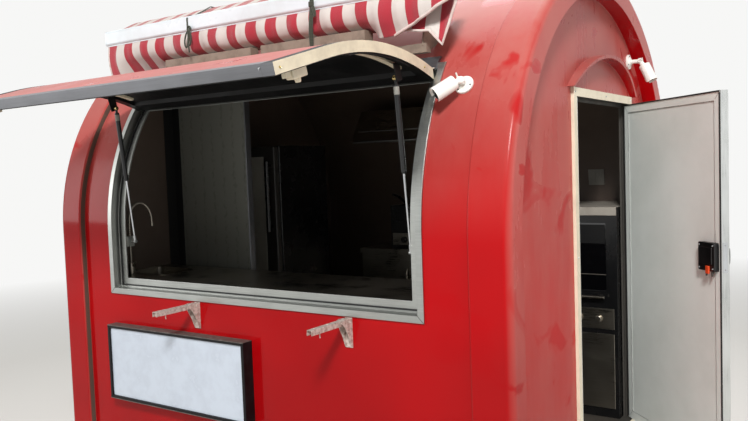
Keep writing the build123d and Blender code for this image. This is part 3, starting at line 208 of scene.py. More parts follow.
def stripedCanvas(name, dusty):
    material, add, shader = newMaterial(name, Sheen_Weight=0.25, Sheen_Roughness=0.6)
    flat = add("SeparateXYZ", {"Vector": add("UVMap", uv_map="flat")})
    turns = add("Math", {0: flat.outputs["X"], 1: 1000 / canvasLook["pitch"]}, operation="MULTIPLY")
    turns = add("Math", {0: turns}, operation="FRACT")
    stripe = add("Math", {0: turns, 1: 0.5}, operation="SUBTRACT")
    stripe = add("Math", {0: stripe}, operation="ABSOLUTE")  # 0.5 in the red, 0 in the white
    stripe = add("MapRange", {"Value": stripe, "From Min": 0.243, "From Max": 0.257})
    cloth = add("Mix", {0: stripe, 6: hexColor(canvasLook["white"]), 7: hexColor(canvasLook["red"])},
                data_type="RGBA")
    place = add("TexCoord").outputs["Object"]
    cloud = add("TexNoise", {"Vector": place, "Scale": 9.0, "Detail": 6.0, "Roughness": 0.65})
    soil = add("MapRange", {"Value": cloud, "From Min": 0.35, "From Max": 0.75, "To Min": 0.55 * dusty,
                            "To Max": dusty})
    cloth = add("Mix", {0: soil, 6: cloth.outputs[2], 7: hexColor(canvasLook["dust"])}, data_type="RGBA")
    warp = add("Math", {0: flat.outputs["X"], 1: 2000 * math.pi / canvasLook["weave"]},
               operation="MULTIPLY")
    weft = add("Math", {0: flat.outputs["Y"], 1: 2000 * math.pi / canvasLook["weave"]},
               operation="MULTIPLY")
    warp = add("Math", {0: warp}, operation="SINE")
    weft = add("Math", {0: weft}, operation="SINE")
    thread = add("Math", {0: warp, 1: weft}, operation="MULTIPLY")
    shade = add("MapRange", {"Value": thread, "From Min": -1, "To Min": 0.9})
    cloth = add("Mix", {0: 1.0, 6: cloth.outputs[2], 7: shade}, data_type="RGBA", blend_type="MULTIPLY")
    rough = add("MapRange", {"Value": cloud, "To Min": 0.75, "To Max": 0.95})
    bump = add("Bump", {"Height": thread, "Distance": 0.25 * mm, "Strength": 0.6})
    wire(shader, Base_Color=cloth.outputs[2], Roughness=rough, Normal=bump)
    return material


def cottonWebbing(name, color, stepMm=3.0):
    # woven cotton tape: ribs two steps apart across it, their crests painted paler as highlight, and uneven
    # dye
    material, add, shader = newMaterial(name, Sheen_Weight=0.3)
    place = add("TexCoord").outputs["Object"]
    ribs = add("TexWave", {"Vector": place, "Scale": 1000 / stepMm / 6.28, "Distortion": 1.5,
                           "Detail": 2.0}, bands_direction="Z")
    cloud = add("TexNoise", {"Vector": place, "Scale": 45.0, "Detail": 4.0})
    base = hexColor(color)
    pale = tuple(min(1.0, v * 2.2 + 0.01) for v in base[:3]) + (1.0,)
    # paler rib crests: painted highlight, broken up by uneven dye
    tint = add("Math", {0: ribs.outputs["Fac"], 1: cloud}, operation="MULTIPLY")
    tint = add("Mix", {0: tint, 6: base, 7: pale}, data_type="RGBA")
    rough = add("MapRange", {"Value": cloud, "To Min": 0.8, "To Max": 0.98})
    bump = add("Bump", {"Height": ribs.outputs["Fac"], "Distance": 0.4 * mm, "Strength": 0.7})
    wire(shader, Base_Color=tint.outputs[2], Roughness=rough, Normal=bump)
    return material


# rubber with moulding dust; the pale bloom lies in soft patches
def rubber(name, color, bloom, roughness=0.75):
    material, add, shader = newMaterial(name, IOR=1.52)
    place = add("TexCoord").outputs["Object"]
    cloud = add("TexNoise", {"Vector": place, "Scale": 22.0, "Detail": 6.0, "Roughness": 0.7})
    amount = add("MapRange", {"Value": cloud, "From Min": 0.4, "From Max": 0.75, "To Max": 0.45})
    tint = add("Mix", {0: amount, 6: hexColor(color), 7: hexColor(bloom)}, data_type="RGBA")
    rough = add("MapRange", {"Value": cloud, "To Min": roughness * 0.85, "To Max": min(1, roughness * 1.2)})
    grain = add("TexNoise", {"Vector": place, "Scale": 900.0, "Detail": 1.0})
    bump = add("Bump", {"Height": grain, "Distance": 0.1 * mm, "Strength": 0.6})
    wire(shader, Base_Color=tint.outputs[2], Roughness=rough, Normal=bump)
    return material


# moulded polycarbonate lens: saturated, wet gloss, with a 6 mm prism pattern behind the face
def lens(name, color):
    material, add, shader = newMaterial(name, IOR=1.58, Coat_Weight=0.6, Roughness=0.08)
    place = add("TexCoord").outputs["Object"]
    prisms = add("TexVoronoi", {"Vector": place, "Scale": 160.0, "Randomness": 0.15})
    base = hexColor(color)
    # each prism's centre is painted paler red: a painted glint
    glow = tuple(min(1.0, v * 1.8) for v in base[:3]) + (1.0,)
    tint = add("MapRange", {"Value": prisms.outputs["Distance"], "To Max": 0.8})
    tint = add("Mix", {0: tint, 6: glow, 7: base}, data_type="RGBA")
    bump = add("Bump", {"Height": prisms.outputs["Distance"], "Distance": 0.6 * mm, "Strength": 0.5})
    wire(shader, Base_Color=tint.outputs[2], Normal=bump)
    return material


# stainless sheet still in its protective film: milky, with rows of small wrinkles 80 mm apart
def filmedSheet(name, color, creaseShade):
    material, add, shader = newMaterial(name, Metallic=0.25, Coat_Weight=0.4, Coat_Roughness=0.25)
    place = add("TexCoord").outputs["Object"]
    rows = add("TexWave", {"Vector": place, "Scale": 3.9, "Distortion": 2.0, "Detail": 3.0,
                           "Detail Scale": 6.0}, bands_direction="X", wave_profile="TRI")
    ticks = add("Mapping", {"Vector": place, "Scale": (60, 60, 42)})
    ticks = add("TexNoise", {"Vector": ticks, "Scale": 1.0, "Detail": 3.0})
    marks = add("Math", {0: rows.outputs["Fac"], 1: ticks}, operation="MULTIPLY")
    marks = add("MapRange", {"Value": marks, "From Min": 0.40, "From Max": 0.56, "To Max": 0.5})
    # darker along the wrinkles: painted shade in the creases
    tint = add("Mix", {0: marks, 6: hexColor(color), 7: hexColor(creaseShade)}, data_type="RGBA")
    rough = add("MapRange", {"Value": ticks, "To Min": 0.28, "To Max": 0.5})
    bump = add("Bump", {"Height": marks, "Distance": 1.2 * mm, "Strength": 0.5})
    wire(shader, Base_Color=tint.outputs[2], Roughness=rough, Normal=bump)
    return material


looks = {
    "gelcoat": gelcoat("polyesterGelcoat", 1.0),
    "gelcoatClean": gelcoat("polyesterGelcoatWiped", 0.35),
    # the lining's dark brown is partly painted shade of the dim inside
    "lining": coatedFinish("brownLiningWithShade", "#5E4F45", 0.42, "#463A32", dirt=0.5, patchMm=300),
    "floor": coatedFinish("wornVinylFloor", "#4A443D", 0.5, "#2C2824", dirt=0.6),
    "chassis": coatedFinish("chassisEnamel", "#141416", 0.42, "#3A3632", dirt=0.4),
    "galvanised": brushedMetal("zincPlatedSteel", "#8D9092", 0.42, 8, stretch=1),
    "tyre": rubber("tyreRubber", "#17171A", "#3B3733"),
    "wheel_steel": coatedFinish("silverWheelEnamel", "#9B9DA0", 0.35, "#5B5650", metallic=0.6, dirt=0.4),
    "frame_aluminium": brushedMetal("brushedAluminium", "#B2B4B0", 0.38),
    "mill_aluminium": brushedMetal("millAluminium", "#D8DAD8", 0.3, along="Z"),
    "hatch_band": coatedFinish("creamPowderCoat", "#DCD0B6", 0.42, "#A39683", dirt=0.45, patchMm=70),
    "hatch_rail": brushedMetal("anodisedRail", "#85868A", 0.42),
    # near-black on the hatch's underside is painted shade under the open hatch; the oven's dark band uses
    # it too
    "hatch_under": coatedFinish("hatchShadeAndOvenBand", "#0D0D0E", 0.5, "#1B1A19", dirt=0.5, gloss=0.2),
    "strut_black": coatedFinish("strutEnamel", "#0C0C0D", 0.3),
    "strut_rod": brushedMetal("hardChromeRod", "#D5D7D9", 0.1, along="Z"),
    # the leaf's near-white is partly its pale enamel, partly painted light on a face the lamps barely reach
    "door_face": coatedFinish("doorEnamelWithPaintedLight", "#F1F6F0", 0.2, "#C9D0C7", dirt=0.35, coat=0.3, patchMm=400),
    "door_profile": coatedFinish("greyDoorProfile", "#47443F", 0.5, "#35322E", gloss=0.3),
    "door_frame": coatedFinish("creamDoorFrame", "#EADFC6", 0.4, "#BDB09A", dirt=0.4, patchMm=90),
    "lock_black": coatedFinish("dieCastLockEnamel", "#0D0D0E", 0.38, "#1C1C1D", peelMm=1.2),
    "awning_paint": coatedFinish("whiteBarPowderCoat", "#DCE4E8", 0.3, "#B9B9B4", dirt=0.3),
    # brown-grey arms and brackets, darker in patches
    "awning_steel": coatedFinish("brownGreyBracketPaint", "#8C7C6D", 0.6, "#5A4D43", dirt=0.6, patchMm=60),
    "awning_cloth": stripedCanvas("stripedCanvas", 0.06),
    "awning_dusty": stripedCanvas("dustyStripedCanvas", 0.5),
    "hem": coatedFinish("canvasPiping", "#DCCFC8", 0.85, "#B58C86", dirt=0.6, peelMm=2.0, depthMm=0.3,
                        patchMm=60),
    "tie_strap": cottonWebbing("cottonTieTape", "#2E3226"),
    "sign_frame": coatedFinish("signFrameEnamel", "#0B0A0C", 0.45, "#2A2224", dirt=0.35, patchMm=50,
                               gloss=0.2),
    "sign_edge": coatedFinish("wornTrimPaint", "#4E4743", 0.5, "#8E837C", dirt=0.5, patchMm=18, gloss=0.3),
    "sign_panel": coatedFinish("opalAcrylic", "#C6CFDB", 0.22, "#A7ADBA", dirt=0.35, coat=0.4, patchMm=70),
    "bare_steel": coatedFinish("rustySteel", "#CDBFB6", 0.5, "#6E3F2C", metallic=0.1, dirt=0.85, patchMm=16,
                               peelMm=1.5, depthMm=0.3),
    "camera_white": coatedFinish("mouldedAbsWhite", "#F1F1EA", 0.3, "#C9C6BA", dirt=0.2, patchMm=40),
    "glass": coatedFinish("smokedGlass", "#050507", 0.06, "#0B0B0D", dirt=0.2, coat=1.0),
    "lamp_red": lens("redPolycarbonateLens", "#8A0606"),
    "lamp_amber": lens("amberPolycarbonateLens", "#B4500A"),
    "plate": coatedFinish("blankPlateSheet", "#D8D8D2", 0.35, "#A9A79E", dirt=0.25),
    "stainless": brushedMetal("brushedStainless", "#A39C90", 0.3),
    "film_panel": filmedSheet("filmedStainless", "#8B8C84", "#6E6F68"),
    "appliance_black": coatedFinish("blackApplianceEnamel", "#0F0F10", 0.25, "#1F1C1A", dirt=0.4),
    "fridge_face": coatedFinish("paleApplianceEnamel", "#C4C2B8", 0.35, "#9C998F", dirt=0.3),
    "fridge_edge": coatedFinish("darkApplianceEnamel", "#3A3835", 0.35, "#2B2927", dirt=0.4),
    "worktop": coatedFinish("greyApplianceTop", "#A59E93", 0.35, "#7C746A", dirt=0.5),
    "switch_white": coatedFinish("switchPlateAbs", "#8F8C84", 0.35, "#6F6C66"),
    "seal": rubber("sealRubber", "#0B0B0C", "#1E1D1C", 0.6),
    "brass": brushedMetal("brassBolt", "#C9B27A", 0.25, along="Z"),
    "orange": coatedFinish("orangeNylon", "#D8481C", 0.4),
    "zinc": brushedMetal("zincScrew", "#B9BBBB", 0.3, 3, stretch=1),
    "strut_label": coatedFinish("strutLabelPaper", "#8B8880", 0.5, "#6E6B64", dirt=0.4, patchMm=12),
    "filter": brushedMetal("bafflePlate", "#7C7A76", 0.38, along="Z"),
}
for row in frame["record"]["subparts"]:
    mesh = nodes[row["node"]].data
    mesh.materials.clear()
    mesh.materials.append(looks[row["material_slot"]])
slotOf = {row["node"]: row["material_slot"] for row in frame["record"]["subparts"]}
bodyOf = {node: body for body, names in frame["record"]["behaviour"]["bodies"].items() for node in names}
print("materials set")


# mesh tools

def near(base, steps):
    # places given in millimetres from a base point
    return [Vector(base) + Vector(step) * mm for step in steps]


def edgesOf(verts):
    return list(dict.fromkeys(edge for vert in verts for edge in vert.link_edges))


def edgesAlong(verts, axis, length):
    # the edges at these vertices that run further than this along an axis
    return [edge for edge in edgesOf(verts)
            if abs(edge.verts[0].co[axis] - edge.verts[1].co[axis]) > length]


def roundEdges(bm, edges, offset, segments=2, clamp=False):
    return bmesh.ops.bevel(bm, geom=edges, offset=offset, segments=segments, profile=0.5, affect="EDGES",
                           material=-1, clamp_overlap=clamp)["faces"]


def newBox(bm, low, high, bevel=0.0, segments=2):
    low, high = Vector(low), Vector(high)
    place = Matrix.Translation((low + high) / 2) @ Matrix.Diagonal((*(high - low), 1))
    verts = bmesh.ops.create_cube(bm, size=1, matrix=place)["verts"]
    if bevel:
        faces = roundEdges(bm, edgesOf(verts), bevel, segments, clamp=True)
        verts = list({vert for face in faces for vert in face.verts})
    return verts


def newRod(bm, start, end, radius, radiusEnd=None, segments=24, bevel=0.0):
    start, end = Vector(start), Vector(end)
    axis = end - start
    place = Matrix.Translation((start + end) / 2) @ axis.to_track_quat("Z", "Y").to_matrix().to_4x4()
    verts = bmesh.ops.create_cone(bm, cap_ends=True, segments=segments, radius1=radius,
                                  radius2=radius if radiusEnd is None else radiusEnd, depth=axis.length,
                                  matrix=place)["verts"]
    if bevel:
        rims = [edge for edge in edgesOf(verts) if edge.calc_face_angle(0) > 0.9]
        faces = roundEdges(bm, rims, bevel, clamp=True)
        verts = list(set(verts) | {vert for face in faces for vert in face.verts})
    return [vert for vert in verts if vert.is_valid]


def newBall(bm, place, radius, segments=20, squash=(1, 1, 1)):
    matrix = Matrix.Translation(place) @ Matrix.Diagonal((*squash, 1))
    return bmesh.ops.create_uvsphere(bm, u_segments=segments, v_segments=segments // 2, radius=radius,
                                     matrix=matrix)["verts"]


def newScrew(bm, place, outward, radius):
    # pan head with a socket pressed into its crown
    place, outward = Vector(place), Vector(outward).normalized()
    thick = radius * 0.55
    verts = newRod(bm, place - outward * thick, place + outward * thick, radius, radius * 0.62, segments=14)
    crown = max({face for vert in verts for face in vert.link_faces},
                key=lambda face: face.normal.dot(outward) * 10 + face.calc_center_median().dot(outward))
    made = bmesh.ops.inset_region(bm, faces=[crown], thickness=radius * 0.24, depth=0)
    bmesh.ops.translate(bm, verts=crown.verts, vec=-outward * thick * 0.6)
    return list(set(verts) | {vert for face in made["faces"] for vert in face.verts} | set(crown.verts))


def addMesh(bm, mesh):
    # joins a mesh to the shape and gives back its vertices
    known = set(bm.verts)
    bm.from_mesh(mesh)
    bpy.data.meshes.remove(mesh)
    return [vert for vert in bm.verts if vert not in known]


def newTube(bm, points, radius, cyclic=False, sides=6, straight=False):
    # a bent wire or pipe along the points
    data = bpy.data.curves.new("run", "CURVE")
    data.dimensions = "3D"
    data.bevel_depth = radius
    data.bevel_resolution = sides // 2
    data.use_fill_caps = not cyclic
    data.resolution_u = 6
    line = data.splines.new("POLY" if straight else "NURBS")
    line.points.add(len(points) - 1)
    for point, place in zip(line.points, points):
        point.co = (*place, 1)
    if not straight:
        line.order_u = 3
        line.use_endpoint_u = not cyclic
    line.use_cyclic_u = cyclic
    holder = bpy.data.objects.new("run", data)
    mesh = bpy.data.meshes.new_from_object(holder)
    bpy.data.objects.remove(holder)
    bpy.data.curves.remove(data)
    return addMesh(bm, mesh)


def newStrap(bm, points, sideways, width, thick):
    # a flat tape along the points, its width along sideways (one vector, or one for each point)
    if not isinstance(sideways, list):
        sideways = [sideways] * len(points)
    edge = None
    verts = []
    for place, side in zip(points, sideways):
        side = Vector(side).normalized() * (width / 2)
        row = [bm.verts.new(Vector(place) - side), bm.verts.new(Vector(place) + side)]
        verts += row
        if edge:
            bm.faces.new((edge[0], edge[1], row[1], row[0]))
        edge = row
    faces = list({face for vert in verts for face in vert.link_faces})
    bmesh.ops.recalc_face_normals(bm, faces=faces)
    made = bmesh.ops.solidify(bm, geom=faces, thickness=thick)
    verts += [item for item in made["geom"] if isinstance(item, bmesh.types.BMVert)]
    return list(set(verts))


def skinRun(z):
    # how far up the serving side's skin a height is, from the level where its arch begins
    over, radius = z - trailer["archZ"], trailer["radius"]
    return over if over <= 0 else radius * math.asin(min(1.0, over / radius))


def onSkin(point):
    # from (along X, up the skin, out of it) to its place on the serving side
    x, run, out = point
    radius = trailer["radius"]
    if run <= 0:
        return Vector((x, -radius - out, trailer["archZ"] + run))
    turn = run / radius
    return Vector((x, -(radius + out) * math.cos(turn), trailer["archZ"] + (radius + out) * math.sin(turn)))


def newSkinStrip(bm, xs, zs, outs, cuts=24):
    # a strip that lies on the serving side: its ends in X, its heights, and how far out it stands
    runs = [skinRun(z) for z in zs]
    strip = bmesh.new()
    newBox(strip, (xs[0], runs[0], outs[0]), (xs[1], runs[1], outs[1]))
    edges = edgesAlong(strip.verts, 1, 0.5 * (runs[1] - runs[0]))
    bmesh.ops.subdivide_edges(strip, edges=edges, cuts=cuts, use_grid_fill=True)
    for vert in strip.verts:
        vert.co = onSkin(vert.co)
    mesh = bpy.data.meshes.new("strip")
    strip.to_mesh(mesh)
    strip.free()
    return addMesh(bm, mesh)


def swing(pin, axis, degrees):
    # the turn about a pin that takes a shape drawn shut to where it stands at rest
    turn = Matrix.Rotation(math.radians(degrees), 4, axis)
    return Matrix.Translation(pin) @ turn @ Matrix.Translation(-Vector(pin))


hatchTurn = swing((0, *trailer["hinge"]), "X", -trailer["hatchOpen"])
doorTurn = swing((*trailer["doorPin"], 0), "Z", trailer["doorOpen"])


def placed(bm, verts, matrix):
    bmesh.ops.transform(bm, matrix=matrix, verts=verts)
    return verts


def finishPiece(bm, name, body, materials, replaced=(), sharp=48, weighted=True, turn=None):
    # from a bmesh to a piece that rides on its body; turn brings a shape drawn shut to where it stands open
    if turn:
        placed(bm, bm.verts, turn)
    mesh = bpy.data.meshes.new(name)
    bm.to_mesh(mesh)
    bm.free()
    for material in ([materials] if isinstance(materials, str) else materials):
        mesh.materials.append(looks[material])
    mesh.polygons.foreach_set("use_smooth", [True] * len(mesh.polygons))
    mesh.set_sharp_from_angle(angle=math.radians(sharp))
    piece = bpy.data.objects.new(name, mesh)
    bpy.context.collection.objects.link(piece)
    if weighted:
        normals = piece.modifiers.new("faceWeights", "WEIGHTED_NORMAL")
        normals.keep_sharp = True
    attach(piece, body)
    if replaced:
        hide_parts(*([replaced] if isinstance(replaced, str) else replaced))
    return piece


def dressNode(node, bevelMm=1.2, materials=None, pick=None, angle=35):
    # a copy of a CAD node, merged and with broken edges, that stands for the node
    bm = bmesh.new()
    bm.from_mesh(nodes[node].data)
    bmesh.ops.remove_doubles(bm, verts=bm.verts, dist=0.00002)
    bmesh.ops.dissolve_limit(bm, angle_limit=math.radians(0.3), verts=bm.verts, edges=bm.edges)
    if bevelMm:
        least = math.radians(angle)
        edges = [edge for edge in bm.edges if edge.is_manifold and edge.calc_face_angle(0) > least]
        roundEdges(bm, edges, bevelMm * mm, clamp=True)
    for face in bm.faces:
        face.material_index = pick(face.calc_center_median(), face.normal) if pick else 0
    return finishPiece(bm, node + "Dressed", bodyOf[node], materials or slotOf[node], replaced=node)


def paintVerts(verts, index):
    # gives the faces among these vertices one of the piece's materials
    chosen = set(verts)
    for face in {face for vert in verts for face in vert.link_faces}:
        if all(vert in chosen for vert in face.verts):
            face.material_index = index
    return verts


# body shells: gelcoat outside, brown laminate inside, kept dark partly as painted shade
def insideShell(centre, normal):
    radius = math.hypot(centre.y, max(0.0, centre.z - trailer["archZ"]))
    return int(radius < trailer["innerR"] + 0.002 and abs(centre.x) < trailer["innerX"] + 0.002)


def makeShells():
    for node in ("barrel_shell", "rear_end_shell", "front_end_shell"):
        dressNode(node, 2.0, ["gelcoat", "lining"], insideShell, angle=40)


makeShells()
print("shells dressed")

# serving window: brushed aluminium frame, black seal and mitred corners
windowLook = {"half": 0.91, "low": 1.24, "top": 2.228, "flange": 0.028, "seal": 6.0, "bevel": 1.6,
              "mitre": 0.8, "lip": (-0.0375, -0.031), "front": -1.1082}


def makeWindow():
    half, low, top, flange = (windowLook[k] for k in ("half", "low", "top", "flange"))
    dressNode("window_frame", windowLook["bevel"], angle=40)
    bm = bmesh.new()
    seal, lip = windowLook["seal"] * mm, windowLook["lip"]
    inner = half - flange
    # the seal lies on the inner lip, where the closed hatch presses
    for side in (-1, 1):
        xs = sorted((side * (inner - 0.010), side * (inner - 0.010 - seal)))
        newSkinStrip(bm, xs, (low + flange + 0.012, top - flange - 0.012), lip, 36)
    for zs in ((low + flange + 0.010, low + flange + 0.010 + seal),
               (top - flange - 0.018, top - flange - 0.012)):
        newSkinStrip(bm, (-inner + 0.010, inner - 0.010), zs, lip, 2)
    finishPiece(bm, "windowSeal", "trailer", "seal")
    bm = bmesh.new()
    # mitre joints: a dark hairline across each lower corner of the flange
    for side in (-1, 1):
        wide, thin = flange * 0.72, windowLook["mitre"] * mm
        verts = newBox(bm, (-wide, -0.0004, -thin), (wide, 0.0004, thin))
        place = Matrix.Translation((side * (half - flange / 2), windowLook["front"], low + flange / 2))
        placed(bm, verts, place @ Matrix.Rotation(side * math.radians(45), 4, "Y"))
    finishPiece(bm, "windowMitres", "trailer", "seal")


makeWindow()
dressNode("hinge_rail", 1.0, "hatch_rail")
print("window set")

# hatch: red skin, an underside painted near-black as shade, anodised rail, cream end bands
hatchLook = {"half": 0.876, "low": 1.274, "depth": 0.031, "screw": 5.0, "channel": (0.7686, 0.7954),
             "channelZ": (1.4995, 2.1005), "ribs": (1.56, 1.86), "rib": (-0.0006, 0.0226),
             "liner": (-0.0246, -0.0135), "latch": 0.034, "keeper": (0.030, 0.075),
             "keeperZ": (1.70, 1.775)}


def hatchInside(centre, normal):
    # the closed hatch's inner faces, painted near-black as shade; its skin keeps the gelcoat
    home = hatchTurn.inverted() @ centre
    radius = math.hypot(home.y, max(0.0, home.z - trailer["archZ"]))
    return int(radius < trailer["radius"] - 0.004)


def hatchSide(centre, normal):
    # cream end bands over an underside painted near-black as shade; the free edge shows the rail's metal
    home = hatchTurn.inverted() @ centre
    facing = hatchTurn.inverted().to_3x3() @ normal
    if home.z < hatchLook["low"] + 0.003 and facing.z < -0.7:
        return 2
    inward = facing.dot(Vector((0, -home.y, 0)).normalized()) > 0.4
    return int(inward or abs(home.x) < hatchLook["half"] - 0.002 and home.z < 2.19)


def makeHatch():
    dressNode("hatch_panel", 0.0, ["gelcoat", "hatch_under"], hatchInside)
    dressNode("hatch_frame", 1.5, ["hatch_band", "hatch_under", "hatch_rail"], hatchSide)
    dressNode("hatch_rail", 1.5)
    half, low, depth = (hatchLook[k] for k in ("half", "low", "depth"))
    bm = bmesh.new()
    # rubber seal down both sides of the underside and along its lower member
    for side in (-1, 1):
        xs = sorted((side * (half - 0.014), side * (half - 0.024)))
        newSkinStrip(bm, xs, (low + 0.014, 2.06), (-depth - 0.004, -depth + 0.001), 30)
    newSkinStrip(bm, (-half + 0.014, half - 0.014), (low + 0.010, low + 0.020),
                 (-depth - 0.004, -depth + 0.001), 1)
    finishPiece(bm, "hatchSeal", "hatch", "seal", turn=hatchTurn)
    bm = bmesh.new()
    # liners on the channels beside the struts
    for side in (-1, 1):
        xs = sorted(side * x for x in hatchLook["channel"])
        newSkinStrip(bm, xs, hatchLook["channelZ"], hatchLook["liner"], 20)
    finishPiece(bm, "hatchChannels", "hatch", "hatch_band", turn=hatchTurn)
    bm = bmesh.new()
    # two cross ribs, painted near-black as shade like the underside
    for z in hatchLook["ribs"]:
        newSkinStrip(bm, (-0.768, 0.768), [z + step for step in hatchLook["rib"]], hatchLook["liner"], 1)
    finishPiece(bm, "hatchRibs", "hatch", "hatch_under", turn=hatchTurn)
    bm = bmesh.new()
    # screws in the rail's face, and then in the end bands
    radius = hatchLook["screw"] * mm
    for x in (-0.82, 0.82):
        newScrew(bm, (x, -1.094, low), (0, 0, -1), radius)
    finishPiece(bm, "hatchRailScrews", "hatch", "zinc", turn=hatchTurn)
    bm = bmesh.new()
    for side in (-1, 1):
        for z in (1.300, 2.13):
            newScrew(bm, onSkin((side * half, skinRun(z), -0.012)), (side, 0, 0), radius)
    finishPiece(bm, "hatchBandScrews", "hatch", "brass", turn=hatchTurn)
    bm = bmesh.new()
    # slam latches near the free corners: a body, a bolt and a thumb turn
    for side in (-1, 1):
        x = side * (half - hatchLook["latch"])
        newBox(bm, (x - 0.016, -1.074, low + 0.100), (x + 0.016, -1.036, low + 0.172), 0.004)
        newBox(bm, (x - 0.009, -1.066, low + 0.074), (x + 0.009, -1.046, low + 0.104), 0.002)
        newRod(bm, (x, -1.040, low + 0.136), (x, -1.022, low + 0.136), 0.012, 0.009, 18, 0.002)
    finishPiece(bm, "hatchLatches", "hatch", "hatch_band", turn=hatchTurn)
    bm = bmesh.new()
    # bright keeper plates on the end bands' inner faces
    for side in (-1, 1):
        xs = sorted(side * (half - step) for step in hatchLook["keeper"])
        newSkinStrip(bm, xs, hatchLook["keeperZ"], (-depth - 0.0025, -depth), 3)
    finishPiece(bm, "hatchKeepers", "hatch", "mill_aluminium", turn=hatchTurn)


makeHatch()
print("hatch set")

# gas struts: enamelled cylinder with a brass eye, chromed rod with a zinc ball end
strutLook = {"x": 0.812, "foot": (-1.022, 1.495), "head": (-1.09378, 2.158), "tube": 356, "tubeR": 11,
             "rodR": 5.0, "rod": 368, "headPin": 9.5, "footPin": 8.2, "ball": 9.2, "label": (0.032, 0.062)}


def makeStruts():
    tubeR, rodR = strutLook["tubeR"] * mm, strutLook["rodR"] * mm
    for side, name in ((-1, "left"), (1, "right")):
        foot = Vector((side * strutLook["x"], *strutLook["foot"]))
        head = Vector((side * strutLook["x"], *strutLook["head"]))
        down = (foot - head).normalized()
        bm = bmesh.new()
        end = head + down * strutLook["tube"] * mm
        newRod(bm, head + down * 0.022, end, tubeR, segments=28, bevel=0.003)
        newRod(bm, end - down * 0.006, end + down * 0.004, tubeR * 0.72, segments=24, bevel=0.001)
        newRod(bm, head + down * 0.006, head + down * 0.026, 0.006, segments=18)
        pin = Vector((strutLook["headPin"] * mm, 0, 0))
        paintVerts(newRod(bm, head - pin, head + pin, pin.x, segments=24, bevel=0.002), 1)
        # a blank label wraps the cylinder below its head
        start, stop = strutLook["label"]
        paintVerts(newRod(bm, head + down * start, head + down * stop, tubeR + 0.0003, segments=28), 2)
        node = "strut_tube_" + name
        finishPiece(bm, "strutCylinder" + name.title(), node, ["strut_black", "brass", "strut_label"], node)
        bm = bmesh.new()
        newRod(bm, foot - down * 0.012, foot - down * strutLook["rod"] * mm, rodR, segments=24, bevel=0.001)
        collar = newRod(bm, foot - down * 0.004, foot - down * 0.030, 0.0075, segments=20, bevel=0.0015)
        paintVerts(collar, 1)
        paintVerts(newBall(bm, foot, strutLook["ball"] * mm, 22), 1)
        pin = Vector((strutLook["footPin"] * mm, 0, 0))
        paintVerts(newRod(bm, foot - pin, foot + pin, 0.0085, segments=22, bevel=0.0015), 1)
        node = "strut_rod_" + name
        finishPiece(bm, "strutRod" + name.title(), node, ["strut_rod", "zinc"], node)


makeStruts()
print("struts set")

# folded awning: cloth slack under the front bar, tied up with two tapes
awningLook = {"half": 1.008, "barY": -0.95478, "barLow": 2.492, "barTop": 2.566, "arris": 14,
              "rollY": -0.81178, "rollZ": 2.578, "rollR": 0.050, "columns": 260, "rows": 30,
              "spans": ((-0.974, -0.922), (-0.906, 0.814), (0.830, 0.874)), "topX": (-0.972, 0.872),
              "right": 0.994, "ties": (-0.40, 0.345)}


def smoothStep(value, low, high):
    share = min(1.0, max(0.0, (value - low) / (high - low)))
    return share * share * (3 - 2 * share)


def alongPoints(points, share):
    # a smooth line through (Y, Z) points, by Catmull-Rom
    place = share * (len(points) - 1)
    i = min(int(place), len(points) - 2)
    t = place - i
    a, b, c, d = [Vector(points[max(0, min(len(points) - 1, i + k))]) for k in (-1, 0, 1, 2)]
    curve = (2 * a - 5 * b + 4 * c - d) * t * t + (3 * b - a - 3 * c + d) * t ** 3
    return 0.5 * ((2 * b) + (c - a) * t + curve)


# sections of the slack cloth from the bar down, as steps from the bar's underside
frontSections = {
    "arm": ((-0.018, 0.0), (-0.027, -0.030), (-0.024, -0.062), (-0.004, -0.088), (0.040, -0.104),
            (0.095, -0.1105)),
    "left": ((-0.018, 0.0), (-0.027, -0.034), (-0.018, -0.072), (0.020, -0.110), (0.062, -0.155),
             (0.090, -0.215)),
    "end": ((-0.018, 0.0), (-0.025, -0.045), (-0.024, -0.090), (-0.014, -0.135), (0.004, -0.178),
            (0.024, -0.220)),
    "right": ((-0.018, 0.0), (-0.028, -0.030), (-0.030, -0.062), (-0.022, -0.095), (-0.008, -0.125),
              (0.002, -0.150)),
}


def frontPoint(x, share):
    # where the front cloth lies at a place along the bar
    if x < 0:
        end = smoothStep(-x, 0.60, 0.70)
        other = "left"
    else:
        end = smoothStep(x, 0.585, 0.66)
        other = "right"
    step = alongPoints(frontSections["arm"], share).lerp(alongPoints(frontSections[other], share), end)
    if x < 0:
        step = step.lerp(alongPoints(frontSections["end"], share), smoothStep(-x, 0.82, 0.97))
    # soft folds that grow downwards, and a tuck under each tie
    swell = 0.0055 * math.sin(x * 33 + 1.3 + 2 * math.sin(x * 5))
    swell += 0.0035 * math.sin(x * 71 + 0.4) + 0.0015 * math.sin(x * 131)
    y = step.x + swell * math.sin(share * math.pi * 0.9) * (1.0 - 0.6 * smoothStep(share, 0.75, 1.0))
    for tie in awningLook["ties"]:
        y += 0.010 * math.exp(-((x - tie) / 0.022) ** 2) * math.sin(min(1.0, share * 1.6) * math.pi)
    z = step.y + 0.004 * math.sin(x * 23 + 2.0) * share * (0.2 + 0.8 * end)
    return Vector((x, awningLook["barY"] + y, awningLook["barLow"] + z - 0.001))


def rightReach(share):
    # the cloth's right side runs inwards as it drops, along a diagonal hem
    return 0.998 - 0.27 * max(0.0, share - 0.28) / 0.72


